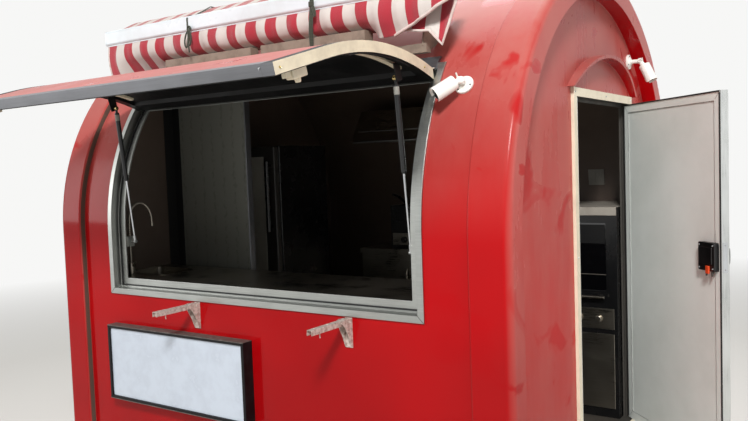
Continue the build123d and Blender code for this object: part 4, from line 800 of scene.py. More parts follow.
def backPoint(x, share):
    # behind the arms the cloth climbs to the roll; at its right end it hangs in a point
    low = 2.384 - 0.104 * smoothStep(-x, 0.60, 0.72)
    if x > 0.62:
        low = 2.384 - 0.039 * smoothStep(x, 0.62, 0.875)
        if x > 0.875:
            low = 2.345 - 0.060 * (x - 0.875) / 0.055 if x < 0.93 else 2.285 + 0.155 * (x - 0.93) / 0.064
    lowY = -0.880 - 0.088 * smoothStep(x, 0.62, 0.80) if x > 0 else -0.880
    top = Vector((-0.868, 2.562))
    foot = Vector((lowY + 0.028, low))
    place = foot.lerp(top, share)
    sag = math.sin(share * math.pi) * (0.006 + 0.003 * math.sin(x * 37))
    return Vector((x, place.x - sag * 0.4, place.y - sag * 0.2))


def newCloth(bm, columns, rows, place, flatPlace):
    # a grid of cloth: its flat place goes to the UV map, then each point goes where it hangs
    verts = bmesh.ops.create_grid(bm, x_segments=columns, y_segments=rows, size=1)["verts"]
    low, high = min(v.co.x for v in verts), max(v.co.x for v in verts)
    flat = bm.loops.layers.uv.new("flat")
    share = {vert: ((vert.co.x - low) / (high - low), (vert.co.y - low) / (high - low)) for vert in verts}
    for face in bm.faces:
        for loop in face.loops:
            loop[flat].uv = flatPlace(*share[loop.vert])
    for vert in verts:
        vert.co = place(*share[vert])
    bmesh.ops.recalc_face_normals(bm, faces=bm.faces)
    return verts


def clothPiece(bm, name, body, material, thick=0.0009, replaced=()):
    piece = finishPiece(bm, name, body, material, replaced, sharp=80, weighted=False)
    wall = piece.modifiers.new("thickness", "SOLIDIFY")
    wall.thickness = thick
    wall.offset = 0
    return piece


def makeAwningCloth():
    left, right = -awningLook["half"] + 0.012, awningLook["right"]
    columns, rows = awningLook["columns"], awningLook["rows"]

    def frontPlace(u, v):
        share = 1 - v
        return frontPoint(left + u * (rightReach(share) - left), share)

    def frontFlat(u, v):
        return (left + u * (rightReach(1 - v) - left) + 0.008, (1 - v) * 0.21)

    bm = bmesh.new()
    newCloth(bm, columns, rows, frontPlace, frontFlat)
    clothPiece(bm, "awningFrontCloth", "trailer", "awning_cloth",
               replaced="awning_valance")
    bm = bmesh.new()
    newCloth(bm, columns, 12, lambda u, v: backPoint(left + u * (right - left), v),
             lambda u, v: (left + u * (right - left) + 0.008, v * 0.19))
    clothPiece(bm, "awningBackCloth", "trailer", "awning_cloth")
    # piped hems along the diagonal side, the left side and the flap's edges
    bm = bmesh.new()
    diagonal = [frontPoint(rightReach(i / 16), i / 16) for i in range(17)]
    newTube(bm, diagonal, 0.0060)
    side = [frontPoint(left, i / 16) for i in range(17)]
    newTube(bm, side, 0.0035)
    flap = [backPoint(x, 0.0) for x in (0.72, 0.78, 0.84, 0.875, 0.90, 0.93, 0.95, 0.975, right)]
    newTube(bm, flap, 0.0055, straight=True)
    newTube(bm, [backPoint(right, i / 8) for i in range(9)], 0.0045)
    finishPiece(bm, "awningPiping", "trailer", "hem", sharp=80, weighted=False)


def makeAwningBar():
    half, y, low, top = (awningLook[k] for k in ("half", "barY", "barLow", "barTop"))
    bm = bmesh.new()
    # extruded bar: rounded back and front, a cloth groove below and a rib along its top
    verts = newBox(bm, (-half + 0.004, y - 0.030, low), (half - 0.004, y + 0.030, top))
    roundEdges(bm, edgesAlong(verts, 0, 1), awningLook["arris"] * mm, 6)
    newBox(bm, (-half + 0.006, y - 0.021, low - 0.004), (half - 0.006, y - 0.016, low + 0.004), 0.001)
    newBox(bm, (-half + 0.006, y - 0.006, top - 0.002), (half - 0.006, y + 0.006, top + 0.003), 0.0012)
    # moulded end caps, each with its slot
    for side in (-1, 1):
        xs = sorted((side * (half - 0.006), side * half))
        verts = newBox(bm, (xs[0], y - 0.031, low - 0.001), (xs[1], y + 0.031, top + 0.001))
        roundEdges(bm, edgesAlong(verts, 0, 0.003), awningLook["arris"] * mm, 6)
        x = side * (half + 0.0006)
        paintVerts(newBox(bm, (x - 0.0008, y - 0.012, top - 0.030), (x + 0.0008, y + 0.008, top - 0.024)),
                   1)
        newScrew(bm, (side * half, y, low + 0.018), (side, 0, 0), 0.005)
    finishPiece(bm, "awningBar", "trailer", ["awning_paint", "seal"], "awning_front_bar")


def makeAwningRoll():
    y, z, radius = (awningLook[k] for k in ("rollY", "rollZ", "rollR"))
    bm = bmesh.new()
    flat = bm.loops.layers.uv.new("flat")
    # the wound cloth between the brackets, with the layers showing at each end
    for xs in awningLook["spans"]:
        length = xs[1] - xs[0]
        steps = max(2, int(length / 0.012))
        verts = newRod(bm, (xs[0], y, z), (xs[1], y, z), radius - 0.003, segments=56)
        caps = [f for f in {f for v in verts for f in v.link_faces} if abs(f.normal.x) > 0.9]
        for cap in caps:
            for turn in range(5):
                bmesh.ops.inset_region(bm, faces=[cap], thickness=0.0032, depth=0)
                bmesh.ops.translate(bm, verts=cap.verts, vec=cap.normal * (-0.0022 if turn % 2 else 0.0018))
        long = [e for e in bm.edges if abs(e.verts[0].co.x - e.verts[1].co.x) > length * 0.9
                and xs[0] - 0.001 < e.verts[0].co.x < xs[1] + 0.001]
        bmesh.ops.subdivide_edges(bm, edges=long, cuts=steps, use_grid_fill=True)
    for vert in bm.verts:
        away = Vector((0, vert.co.y - y, vert.co.z - z))
        if away.length > radius - 0.004:
            lump = noise.noise(Vector((vert.co.x * 5, away.y * 30, away.z * 30)))
            fold = math.sin(vert.co.x * 57 + away.y * 60)
            vert.co += away.normalized() * (0.0016 * lump + 0.0008 * fold)
    for face in bm.faces:
        for loop in face.loops:
            angle = math.atan2(loop.vert.co.z - z, loop.vert.co.y - y)
            loop[flat].uv = (loop.vert.co.x + 0.008, angle * radius)
    finishPiece(bm, "awningRoll", "trailer", "awning_dusty", "awning_roll", sharp=40, weighted=False)
    # the last turn leaves the roll and goes over to the bar
    bm = bmesh.new()

    left, right = awningLook["topX"]

    def overPlace(u, v):
        x = left + u * (right - left)
        start = Vector((y + 0.006, z + radius + 0.0022))
        end = Vector((awningLook["barY"] + 0.012, awningLook["barTop"] + 0.004))
        place = start.lerp(end, v)
        sag = math.sin(v * math.pi) * (0.010 + 0.004 * math.sin(x * 19 + 1) + 0.002 * math.sin(x * 47))
        return Vector((x, place.x, place.y - sag * 0.6 + 0.012 * math.sin(v * math.pi) * (1 - v)))

    newCloth(bm, 200, 14, overPlace, lambda u, v: (left + u * (right - left) + 0.008, v * 0.17))
    clothPiece(bm, "awningTopCloth", "trailer", "awning_dusty")


def makeTies():
    y, low, top = awningLook["barY"], awningLook["barLow"], awningLook["barTop"]
    front, back = y - 0.0315, awningLook["rollY"] + awningLook["rollR"] + 0.002
    crown = awningLook["rollZ"] + awningLook["rollR"] + 0.003
    bm = bmesh.new()
    # once round the bar and the roll
    rollY = awningLook["rollY"]
    loop = ((front + 0.008, low - 0.0035), (front, low + 0.012), (front, top - 0.012),
            (front + 0.012, top + 0.003), (y + 0.020, top + 0.010), (rollY - 0.020, crown),
            (rollY + 0.018, crown), (back - 0.012, crown - 0.016), (back + 0.001, crown - 0.040),
            (back - 0.004, crown - 0.070), (rollY, low - 0.001), (y + 0.020, low - 0.004),
            (front + 0.008, low - 0.0035))
    for tie, width, thick in zip(awningLook["ties"], (0.010, 0.021), (0.003, 0.0022)):
        newStrap(bm, [(tie, *place) for place in loop], (1, 0, 0), width, thick)
    # the left cord: a knot on the bar's front, two drooping bows and a tail
    x = awningLook["ties"][0]
    knot = Vector((x + 0.020, front - 0.009, low + 0.010))
    for turn in range(3):
        angle = turn * 2.1
        ring = [knot + Vector((0.010 * math.cos(a + angle), 0.004 * math.sin(2 * a),
                               0.012 * math.sin(a + angle)))
                for a in (0, 0.9, 1.8, 2.7, 3.6, 4.5, 5.4)]
        newTube(bm, ring, 0.0034, cyclic=True)
    bows = (
        ((0, 0, 0), (20, -10, -20), (26, -14, -62), (12, -12, -86), (0, -10, -62), (-2, -4, -16)),
        ((0, 0, 0), (-14, -10, -26), (-20, -14, -70), (-8, -13, -96), (6, -12, -60), (2, -5, -10)),
        ((0, 0, 0), (10, -8, -40), (2, -12, -82), (8, -11, -112)),
    )
    for bow in bows:
        newTube(bm, near(knot, bow), 0.0038)
    finishPiece(bm, "awningTieCord", "trailer", "tie_strap", "awning_ties", sharp=60, weighted=False)
    bm = bmesh.new()
    # the right tape: its tail hangs in front of the arm, twisted once
    x = awningLook["ties"][1]
    tail = near((x, front, low), ((0, -2, 30), (2, -6, 4), (3, -12, -40), (1, -13, -80), (-3, -8, -118),
                                  (-6, -4, -150), (-6, -2, -178)))
    twist = [Vector((math.cos(a), math.sin(a) * 0.8, 0.04)) for a in (0, 0.1, 0.5, 1.0, 0.6, 0.2, 0.0)]
    newStrap(bm, tail, twist, 0.021, 0.0022)
    short = near((x, front, low), ((4, -4, 18), (16, -12, 2), (26, -14, -22), (22, -12, -40)))
    newStrap(bm, short, (1, 0.3, 0.5), 0.016, 0.002)
    newBox(bm, (x - 0.012, front - 0.010, low + 0.008), (x + 0.014, front + 0.001, low + 0.032), 0.004)
    piece = finishPiece(bm, "awningTieTape", "trailer", "tie_strap", sharp=60, weighted=False)
    soft = piece.modifiers.new("soft", "SUBSURF")
    soft.levels = soft.render_levels = 1


def makeAwning():
    makeAwningBar()
    makeAwningRoll()
    makeAwningCloth()
    makeTies()
    dressNode("awning_brackets", 1.2, angle=40)
    dressNode("awning_arms", 2.0, angle=40)
    dressNode("awning_roller", 1.0)


makeAwning()
print("awning set")

# rear door: pale enamelled field, partly painted light, in a dark profile, bright edges, red outside
doorLook = {"inner": 1.175, "outer": 1.213, "left": -0.26, "right": 0.53, "low": 0.462, "top": 2.098,
            "border": 0.042, "bead": 2.2, "lock": (1.332, 1.455), "lockWide": 0.114, "pull": (1.322, 1.462),
            "jambs": (-0.265, 0.535), "jambZ": (0.456, 2.100), "jambX": (1.196, 1.2148), "lining": 1.199}


def doorSide(centre, normal):
    home = doorTurn.inverted() @ centre
    facing = doorTurn.inverted().to_3x3() @ normal
    outer, left, right, low, top = (doorLook[k] for k in ("outer", "left", "right", "low", "top"))
    if home.x > outer + 0.0005 or home.y > right - 0.001 and home.x > outer - 0.002:
        return 3  # hinge knuckles and leaves
    if facing.x > 0.7:
        return 2  # outer skin
    if facing.x < -0.7:
        edge = doorLook["border"] - 0.001
        inField = left + edge < home.y < right - edge and low + edge < home.z < top - edge
        return 0 if inField else 1
    return 3 if home.x > doorLook["inner"] + 0.004 else 1


def frameSide(centre, normal):
    return int(centre.x < doorLook["lining"])


def makeDoor():
    inner, left, right, low, top = (doorLook[k] for k in ("inner", "left", "right", "low", "top"))
    border = doorLook["border"]
    dressNode("door_leaf", 1.2, ["door_face", "door_profile", "gelcoatClean", "mill_aluminium"], doorSide,
              angle=40)
    bm = bmesh.new()
    # glazing bead: the thin light line between the field and its profile
    bead = doorLook["bead"] * mm
    ys, zs = (left + border, right - border), (low + border, top - border)
    for y in ys:
        newBox(bm, (inner - 0.0006, y - bead / 2, zs[0]), (inner + 0.003, y + bead / 2, zs[1]), 0.0004, 1)
    for z in zs:
        newBox(bm, (inner - 0.0006, ys[0], z - bead / 2), (inner + 0.003, ys[1], z + bead / 2), 0.0004, 1)
    # bright cleats over the mitres
    half = border * 0.52
    for y, turn in ((left, 1), (right, -1)):
        for z, flip in ((low, -1), (top, 1)):
            verts = newBox(bm, (-0.0009, -0.0012, -half), (0.0004, 0.0012, half), 0.0003, 1)
            place = Matrix.Translation((inner, y + turn * border / 2, z - flip * border / 2))
            placed(bm, verts, place @ Matrix.Rotation(math.radians(45 * turn * flip), 4, "X"))
            corner = (inner - 0.0005, y + turn * (border + 0.002), z - flip * (border + 0.002))
            newBall(bm, corner, 0.004, 12, (0.3, 1, 1))
    finishPiece(bm, "doorBead", "door", "mill_aluminium", turn=doorTurn)
    bm = bmesh.new()
    # seal in the rebate on the leaf's edge
    for y in (left + 0.004, right - 0.004):
        newBox(bm, (inner - 0.0035, y - 0.003, low + 0.01), (inner + 0.001, y + 0.003, top - 0.01), 0.001)
    newBox(bm, (inner - 0.0035, left + 0.004, top - 0.007), (inner + 0.001, right - 0.004, top - 0.001),
           0.001)
    finishPiece(bm, "doorSeal", "door", "seal", turn=doorTurn)
    bm = bmesh.new()
    # latch plate on the free edge
    z = sum(doorLook["lock"]) / 2
    newBox(bm, (inner + 0.006, left - 0.0012, z - 0.065), (inner + 0.030, left + 0.001, z + 0.065), 0.0008)
    newBox(bm, (inner + 0.012, left - 0.0018, z - 0.014), (inner + 0.024, left + 0.002, z + 0.018), 0.0008)
    for dz in (-0.052, 0.052):
        newScrew(bm, (inner + 0.018, left - 0.001, z + dz), (0, -1, 0), 0.004)
    finishPiece(bm, "doorLatchPlate", "door", "strut_rod", turn=doorTurn)
    # lock case: die-cast, with four screws, an orange release and two lever tips
    bm = bmesh.new()
    lockLow, lockHigh = doorLook["lock"]
    y0, y1 = left + 0.016, left + 0.016 + doorLook["lockWide"]
    verts = newBox(bm, (inner - 0.024, y0, lockLow), (inner, y1, lockHigh))
    roundEdges(bm, edgesAlong(verts, 0, 0.02), 0.008, 4)
    rims = [edge for edge in bm.edges if edge.calc_face_angle(0) > 0.6
            and max(vert.co.x for vert in edge.verts) < inner - 0.02]
    roundEdges(bm, rims, 0.003)
    newBox(bm, (inner - 0.028, y0 + 0.014, lockLow + 0.030), (inner - 0.022, y1 - 0.014, lockHigh - 0.020),
           0.003)
    for y in (y0 + 0.010, y1 - 0.010):
        for zz in (lockLow + 0.012, lockHigh - 0.012):
            paintVerts(newScrew(bm, (inner - 0.024, y, zz), (-1, 0, 0), 0.0042), 1)
    verts = newBox(bm, (inner - 0.034, y0 + 0.028, lockLow - 0.010),
                   (inner - 0.024, y0 + 0.050, lockLow + 0.024), 0.003)
    paintVerts(verts, 2)
    for y in (y0 + 0.020, y0 + 0.060):
        verts = newRod(bm, (inner - 0.016, y, lockLow + 0.004), (inner - 0.020, y, lockLow - 0.022), 0.008,
                       0.003, 14)
        paintVerts(verts, 3)
    finishPiece(bm, "doorLockCase", "door", ["lock_black", "zinc", "orange", "door_profile"], "door_lock",
                turn=doorTurn)
    bm = bmesh.new()
    # outside pull handle on its plate
    outer = doorLook["outer"]
    pullLow, pullHigh = doorLook["pull"]
    newBox(bm, (outer - 0.001, left + 0.026, pullLow), (outer + 0.006, left + 0.086, pullHigh), 0.003)
    middle = (outer, left + 0.056, (pullLow + pullHigh) / 2)
    newTube(bm, near(middle, ((4, 0, 55), (34, 0, 45), (36, 0, 0), (34, 0, -45), (4, 0, -55))), 0.007)
    finishPiece(bm, "doorHandle", "door", "lock_black", turn=doorTurn)
    # frame: cream folded section with a dark lining inside
    dressNode("door_frame", 1.2, ["door_frame", "door_profile", "mill_aluminium"], frameSide, angle=40)
    bm = bmesh.new()
    # bright edge strips down both jambs of the opening
    jambX, jambZ = doorLook["jambX"], doorLook["jambZ"]
    for y, side in zip(doorLook["jambs"], (1, -1)):
        ys = sorted((y, y + side * 0.003))
        newBox(bm, (jambX[0], ys[0], jambZ[0]), (jambX[1], ys[1], jambZ[1]), 0.0008, 1)
    finishPiece(bm, "doorJambStrips", "trailer", "mill_aluminium")
    bm = bmesh.new()
    for y, z in ((-0.284, 2.122), (0.554, 2.122), (-0.284, 1.4), (0.560, 1.4), (-0.284, 0.62),
                 (0.560, 0.62),
                 (0.14, 2.122)):
        newScrew(bm, (1.214, y, z), (1, 0, 0), 0.0045)
    finishPiece(bm, "doorFrameScrews", "trailer", "zinc")


makeDoor()
print("door set")

# light box: black folded frame with a worn bright edge and a blank opal panel
signLook = {"left": -0.89, "right": 0.03, "low": 0.722, "high": 1.09, "depth": 0.058, "edge": 0.015,
            "glandY": -1.135}


def makeSign():
    left, right, low, high, edge = (signLook[k] for k in ("left", "right", "low", "high", "edge"))
    front = -trailer["radius"] - signLook["depth"]
    dressNode("sign_box", 1.8)
    dressNode("sign_panel", 0.6)
    bm = bmesh.new()
    # bright trim along the frame's front arrises
    for zs in ((low - 0.0006, low + 0.0035), (high - 0.0035, high + 0.0006)):
        newBox(bm, (left, front - 0.0008, zs[0]), (right, front + 0.003, zs[1]), 0.0006, 1)
    newBox(bm, (left, front + 0.002, high - 0.001), (right, -1.102, high + 0.0014), 0.0006, 1)
    finishPiece(bm, "signTrim", "trailer", "sign_edge")
    bm = bmesh.new()
    for x in (left + 0.008, (left + right) / 2, right - 0.008):
        for z in (low + 0.008, high - 0.008):
            newScrew(bm, (x, front, z), (0, -1, 0), 0.0038)
    # the sheet's retaining beads and a feed gland below
    for x in (left + edge, right - edge):
        newBox(bm, (x - 0.002, front + 0.002, low + edge), (x + 0.002, front + 0.008, high - edge), 0.0006,
               1)
    gland = near((0, signLook["glandY"], low), ((0, 0, 0), (0, 0, -16)))
    newRod(bm, *gland, 0.010, segments=20, bevel=0.002)
    finishPiece(bm, "signFittings", "trailer", "sign_frame")


makeSign()

# folding shelf arms: bare pressed channel between two cheeks, all of it rusting
shelfLook = {"places": ((-0.30, "left"), (0.56, "right")), "pin": (-1.120, 1.222), "reach": 0.232,
             "leg": (1.115, 1.236)}


def makeShelves():
    pinY, pinZ = shelfLook["pin"]
    bm = bmesh.new()
    cheek = ((-1.101, 1.234), (-1.150, 1.236), (-1.176, 1.226), (-1.150, 1.206), (-1.124, 1.160),
             (-1.108, 1.118), (-1.101, 1.116))
    for x, _ in shelfLook["places"]:
        # wall leg, and tapering cheeks that the arm turns between
        low, high = shelfLook["leg"]
        newBox(bm, (x - 0.017, -1.1045, low), (x + 0.017, -trailer["radius"], high), 0.0012)
        for side in (-1, 1):
            face = x + side * 0.0155
            verts = [bm.verts.new((face - 0.0013, *point)) for point in cheek]
            bm.faces.new(verts if side > 0 else verts[::-1])
            made = bmesh.ops.extrude_face_region(bm, geom=[verts[0].link_faces[0]])
            moved = [v for v in made["geom"] if isinstance(v, bmesh.types.BMVert)]
            bmesh.ops.translate(bm, verts=moved, vec=(0.0026, 0, 0))
            newScrew(bm, (face + side * 0.001, pinY, pinZ), (side, 0, 0), 0.006)
            newScrew(bm, (face + side * 0.001, -1.128, 1.186), (side, 0, 0), 0.004)
        for z in (1.135, 1.165, 1.200):
            newScrew(bm, (x, -1.105, z), (0, -1, 0), 0.0045)
        newRod(bm, (x - 0.018, pinY, pinZ), (x + 0.018, pinY, pinZ), 0.0028, segments=16)
    bmesh.ops.recalc_face_normals(bm, faces=bm.faces)
    finishPiece(bm, "shelfWallLegs", "trailer", "bare_steel", "shelf_plates")
    for x, name in shelfLook["places"]:
        bm = bmesh.new()
        tip = pinY - shelfLook["reach"]
        # inverted channel with a lock bar and a link lying inside
        newBox(bm, (x - 0.012, tip, pinZ + 0.009), (x + 0.012, pinY + 0.004, pinZ + 0.0118), 0.0008)
        for wall in (x - 0.0105, x + 0.0105):
            newBox(bm, (wall - 0.0014, tip, pinZ - 0.010), (wall + 0.0014, pinY + 0.004, pinZ + 0.011),
                   0.0008)
        newBox(bm, (x - 0.005, pinY - 0.150, pinZ - 0.012), (x + 0.005, pinY - 0.030, pinZ - 0.004), 0.001)
        newRod(bm, *near((x, pinY, pinZ), ((-11.8, -150, -6), (11.8, -150, -6))), 0.004, segments=16)
        newTube(bm, near((x, pinY, pinZ), ((0, -165, -4), (0, -172, -18), (0, -168, -30))), 0.0022)
        for y in (tip + 0.030, tip + 0.110):
            newScrew(bm, (x, y, pinZ + 0.0118), (0, 0, 1), 0.0045)
        node = "shelf_arm_" + name
        finishPiece(bm, "shelfArm" + name.title(), node, "bare_steel", node)


makeShelves()
print("sign and shelf arms set")


# bullet cameras: moulded white barrel and sun hood, smoked glass, three-screw base
cctvLook = {"foot": 38, "barrel": 29.0, "long": 88, "glass": 23.5, "eave": 7}


def makeCctv(name, node, base, out, aim, screws, neck):
    base, out, aim = Vector(base), Vector(out).normalized(), Vector(aim).normalized()
    knuckle = base + out * neck
    start = knuckle + aim * 0.024 + out * 0.008
    end = start + aim * cctvLook["long"] * mm
    wide, glass = cctvLook["barrel"] * mm, cctvLook["glass"] * mm
    side = aim.cross(out).normalized()
    up = side.cross(aim).normalized()
    if up.dot(out) < 0:
        up = -up
    bm = bmesh.new()
    newRod(bm, base - out * 0.001, base + out * 0.010, cctvLook["foot"] * mm, segments=40, bevel=0.0025)
    newRod(bm, base + out * 0.010, base + out * 0.018, 0.024, 0.018, 28)
    newRod(bm, base + out * 0.012, knuckle, 0.011, 0.010, 24)
    newBall(bm, knuckle, 0.0155, 26)
    newRod(bm, knuckle - side * 0.019, knuckle + side * 0.019, 0.0085, segments=22, bevel=0.0015)
    newRod(bm, knuckle, start + aim * 0.012, 0.0105, 0.013, 22)
    lever = knuckle + side * 0.019
    newTube(bm, [lever, lever + up * 0.010 + side * 0.004, lever + up * 0.022 + side * 0.006], 0.0032)
    # barrel: rounded back, slightly flared front ring
    newRod(bm, start, end - aim * 0.005, wide - 0.0028, segments=40, bevel=0.005)
    newRod(bm, end - aim * 0.018, end - aim * 0.002, wide - 0.0012, segments=40, bevel=0.002)
    # sun hood: a thin sleeve, cut away below
    hood = newRod(bm, start + aim * 0.003, end + aim * cctvLook["eave"] * mm, wide, segments=48)
    faces = {f for v in hood for f in v.link_faces}
    bmesh.ops.delete(bm, geom=[f for f in faces if abs(f.normal.dot(aim)) > 0.9], context="FACES_ONLY")
    sleeve = list({f for v in hood for f in v.link_faces})
    edges = list({e for f in sleeve for e in f.edges})
    cut = bmesh.ops.bisect_plane(bm, geom=hood + edges + sleeve, plane_co=start - up * 0.010,
                                 plane_no=(up + aim * 0.10).normalized(), clear_inner=True)
    sleeve = [g for g in cut["geom"] if isinstance(g, bmesh.types.BMFace)]
    bmesh.ops.solidify(bm, geom=sleeve, thickness=0.0012)
    paintVerts(newRod(bm, end - aim * 0.004, end - aim * 0.0012, glass, segments=36, bevel=0.0008), 1)
    paintVerts(newRod(bm, end - aim * 0.003, end - aim * 0.0004, 0.009, segments=26, bevel=0.0008), 2)
    for turn in range(8):
        a = turn * math.pi / 4
        spot = end - aim * 0.001 + 0.0165 * (math.sin(a) * side + math.cos(a) * up)
        paintVerts(newBall(bm, spot, 0.0020, 8), 2)
    cross = out.cross(Vector((1, 0, 0)) if abs(out.x) < 0.9 else Vector((0, 1, 0))).normalized()
    for turn in screws:
        spoke = Matrix.Rotation(math.radians(turn), 3, out) @ cross
        paintVerts(newScrew(bm, base + out * 0.010 + spoke * 0.029, out, 0.0042), 2)
    finishPiece(bm, name, "trailer", ["camera_white", "glass", "seal"], node)


def onArch(x, side, radius, degrees):
    # a place on the arch, at an angle up from the level where it begins
    angle = math.radians(degrees)
    return (x, side * radius * math.cos(angle), trailer["archZ"] + radius * math.sin(angle))


out = (0, -math.cos(math.radians(31.3)), math.sin(math.radians(31.3)))
makeCctv("sideCctv", "camera_side", onArch(1.02, -1, trailer["radius"], 31.3), out,
         (-0.567, -0.662, -0.492), (20, 140, 260), 0.034)
makeCctv("rearCctv", "camera_rear", onArch(1.2, 1, 0.955, 54), (1, 0, 0), (0.44, -0.04, -0.90),
         (0, 120, 240), 0.062)
print("cameras set")

# tail lamps: red and amber lenses in black rings; blank number plate in its holder
lampLook = {"y": 1.053, "zs": (0.640, 0.740), "radius": 0.034, "face": 1.272}
plateLook = {"x": 1.2, "ys": (-0.902, -0.630), "zs": (0.626, 0.756), "screws": (-0.876, -0.656),
             "screwZ": 0.744}


def makeLamps():
    bm = bmesh.new()
    for side in (-1, 1):
        for z, lensSlot in zip(lampLook["zs"], (1, 2)):
            steps = ((-1, 0, 0), (10, 0, 0), (8, 0, 0), (15.5, 0, 0))
            back, front, root, face = near((lampLook["face"], side * lampLook["y"], z), steps)
            newRod(bm, back, front, lampLook["radius"], segments=40, bevel=0.002)
            verts = newRod(bm, root, face, 0.029, 0.025, 40, 0.002)
            paintVerts(verts, lensSlot)
    finishPiece(bm, "tailLampsFitted", "trailer", ["seal", "lamp_red", "lamp_amber"], "tail_lamps")
    bm = bmesh.new()
    x, ys, zs = (plateLook[k] for k in ("x", "ys", "zs"))
    newBox(bm, (x, ys[0] - 0.006, zs[0] - 0.008), (x + 0.0035, ys[1] + 0.006, zs[1] + 0.006), 0.0015)
    paintVerts(newBox(bm, (x + 0.0025, ys[0], zs[0]), (x + 0.006, ys[1], zs[1]), 0.001), 1)
    for y in plateLook["screws"]:
        newScrew(bm, (x + 0.006, y, plateLook["screwZ"]), (1, 0, 0), 0.005)
    finishPiece(bm, "numberPlateBlank", "trailer", ["seal", "plate"], "number_plate")


makeLamps()

# inside: stainless counters with doors, pressed sink, swan-neck tap
counterLook = {"top": 1.30, "gap": 3.0, "doorLow": 0.52, "doorTop": 1.235, "handle": 1.10}


def makeCounters():
    dressNode("counter_front", 1.2, angle=40)
    dressNode("counter_back", 1.2, angle=40)
    gap, low, top = counterLook["gap"] * mm, counterLook["doorLow"], counterLook["doorTop"]
    # rows of doors from one X to another, with handles that pair up at every second gap
    rows = (("counterDoorsFront", -0.544, 1, -0.56, 0.88, 4),
            ("counterDoorsBack", 0.544, -1, -0.51, 0.63, 3))
    for name, y, side, start, stop, count in rows:
        bm = bmesh.new()
        width = (stop - start) / count
        for i in range(count):
            xs = (start + i * width + gap / 2, start + (i + 1) * width - gap / 2)
            ys = sorted((y, y + side * 0.006))
            newBox(bm, (xs[0], ys[0], low), (xs[1], ys[1], top), 0.002)
            x = xs[1] - 0.04 if i % 2 == 0 else xs[0] + 0.04
            steps = ((0, 5, 80), (0, 24, 75), (0, 24, 0), (0, 24, -75), (0, 5, -80))
            steps = [(dx, side * dy, dz) for dx, dy, dz in steps]
            newTube(bm, near((x, y, counterLook["handle"]), steps), 0.005)
        finishPiece(bm, name, "trailer", "stainless")


sinkLook = {"x": -0.96, "y": -0.740, "halfX": 0.146, "halfY": 0.116, "depth": 0.147, "round": 30,
            "tap": (-1.03, -0.882), "neck": 290, "reach": (0.050, 0.110)}


def makeSink():
    x, y, halfX, halfY, depth = (sinkLook[k] for k in ("x", "y", "halfX", "halfY", "depth"))
    top = counterLook["top"]
    bm = bmesh.new()
    verts = newBox(bm, (x - halfX, y - halfY, top - depth), (x + halfX, y + halfY, top + 0.0018))
    lid = max({f for v in verts for f in v.link_faces}, key=lambda face: face.normal.z)
    bmesh.ops.delete(bm, geom=[lid], context="FACES")
    roundEdges(bm, edgesAlong(bm.verts, 2, 0.1), sinkLook["round"] * mm, 6)
    foot = [e for e in bm.edges if not e.is_boundary and abs(e.verts[0].co.z - e.verts[1].co.z) < 0.001]
    roundEdges(bm, foot, 0.022, 4)
    # pressed flange round the bowl
    rim = [e for e in bm.edges if e.is_boundary]
    made = bmesh.ops.extrude_edge_only(bm, edges=rim)
    lip = [v for v in made["geom"] if isinstance(v, bmesh.types.BMVert)]
    for v in lip:
        v.co.x += 0.012 * (v.co.x - x) / halfX
        v.co.y += 0.012 * (v.co.y - y) / halfY
    bmesh.ops.reverse_faces(bm, faces=bm.faces)
    bmesh.ops.solidify(bm, geom=bm.faces, thickness=0.0012)
    newRod(bm, (x, y, top - depth - 0.002), (x, y, top - depth + 0.004), 0.034, segments=32, bevel=0.002)
    # tap: flanged base, lever, and a neck that reaches over the bowl
    tx, ty = sinkLook["tap"]
    rx, ry = sinkLook["reach"]
    newRod(bm, (tx, ty, top), (tx, ty, top + 0.006), 0.026, segments=32, bevel=0.002)
    newRod(bm, (tx, ty, top + 0.004), (tx, ty, top + 0.062), 0.019, 0.016, 28, 0.003)
    newTube(bm, near((tx, ty, top), ((14, 0, 45), (36, -10, 54), (62, -20, 70))), 0.0055)
    bow = near((tx, ty, top), ((0, 0, 30), (0, 0, 120), (0, 0, 220), (0, 0, sinkLook["neck"])))
    high = top + sinkLook["neck"] * mm
    for share, up in ((0.08, 0.052), (0.28, 0.088), (0.5, 0.098), (0.72, 0.088), (0.92, 0.052)):
        bow.append((tx + rx * share, ty + ry * share, high + up * 0.9))
    tip = (tx + rx, ty + ry, high)
    newTube(bm, bow + near(tip, ((0, 0, 0), (0, 0, -30))), 0.0062, sides=10)
    newRod(bm, *near(tip, ((0, 0, -42), (0, 0, -22))), 0.0085, segments=24, bevel=0.0015)
    finishPiece(bm, "sinkWithTap", "trailer", "stainless", "sink_and_tap")


fridgeLook = {"left": -1.16, "right": -0.678, "y": -0.100, "depth": 0.5, "top": 1.97,
              "handle": (1.49, 1.85)}


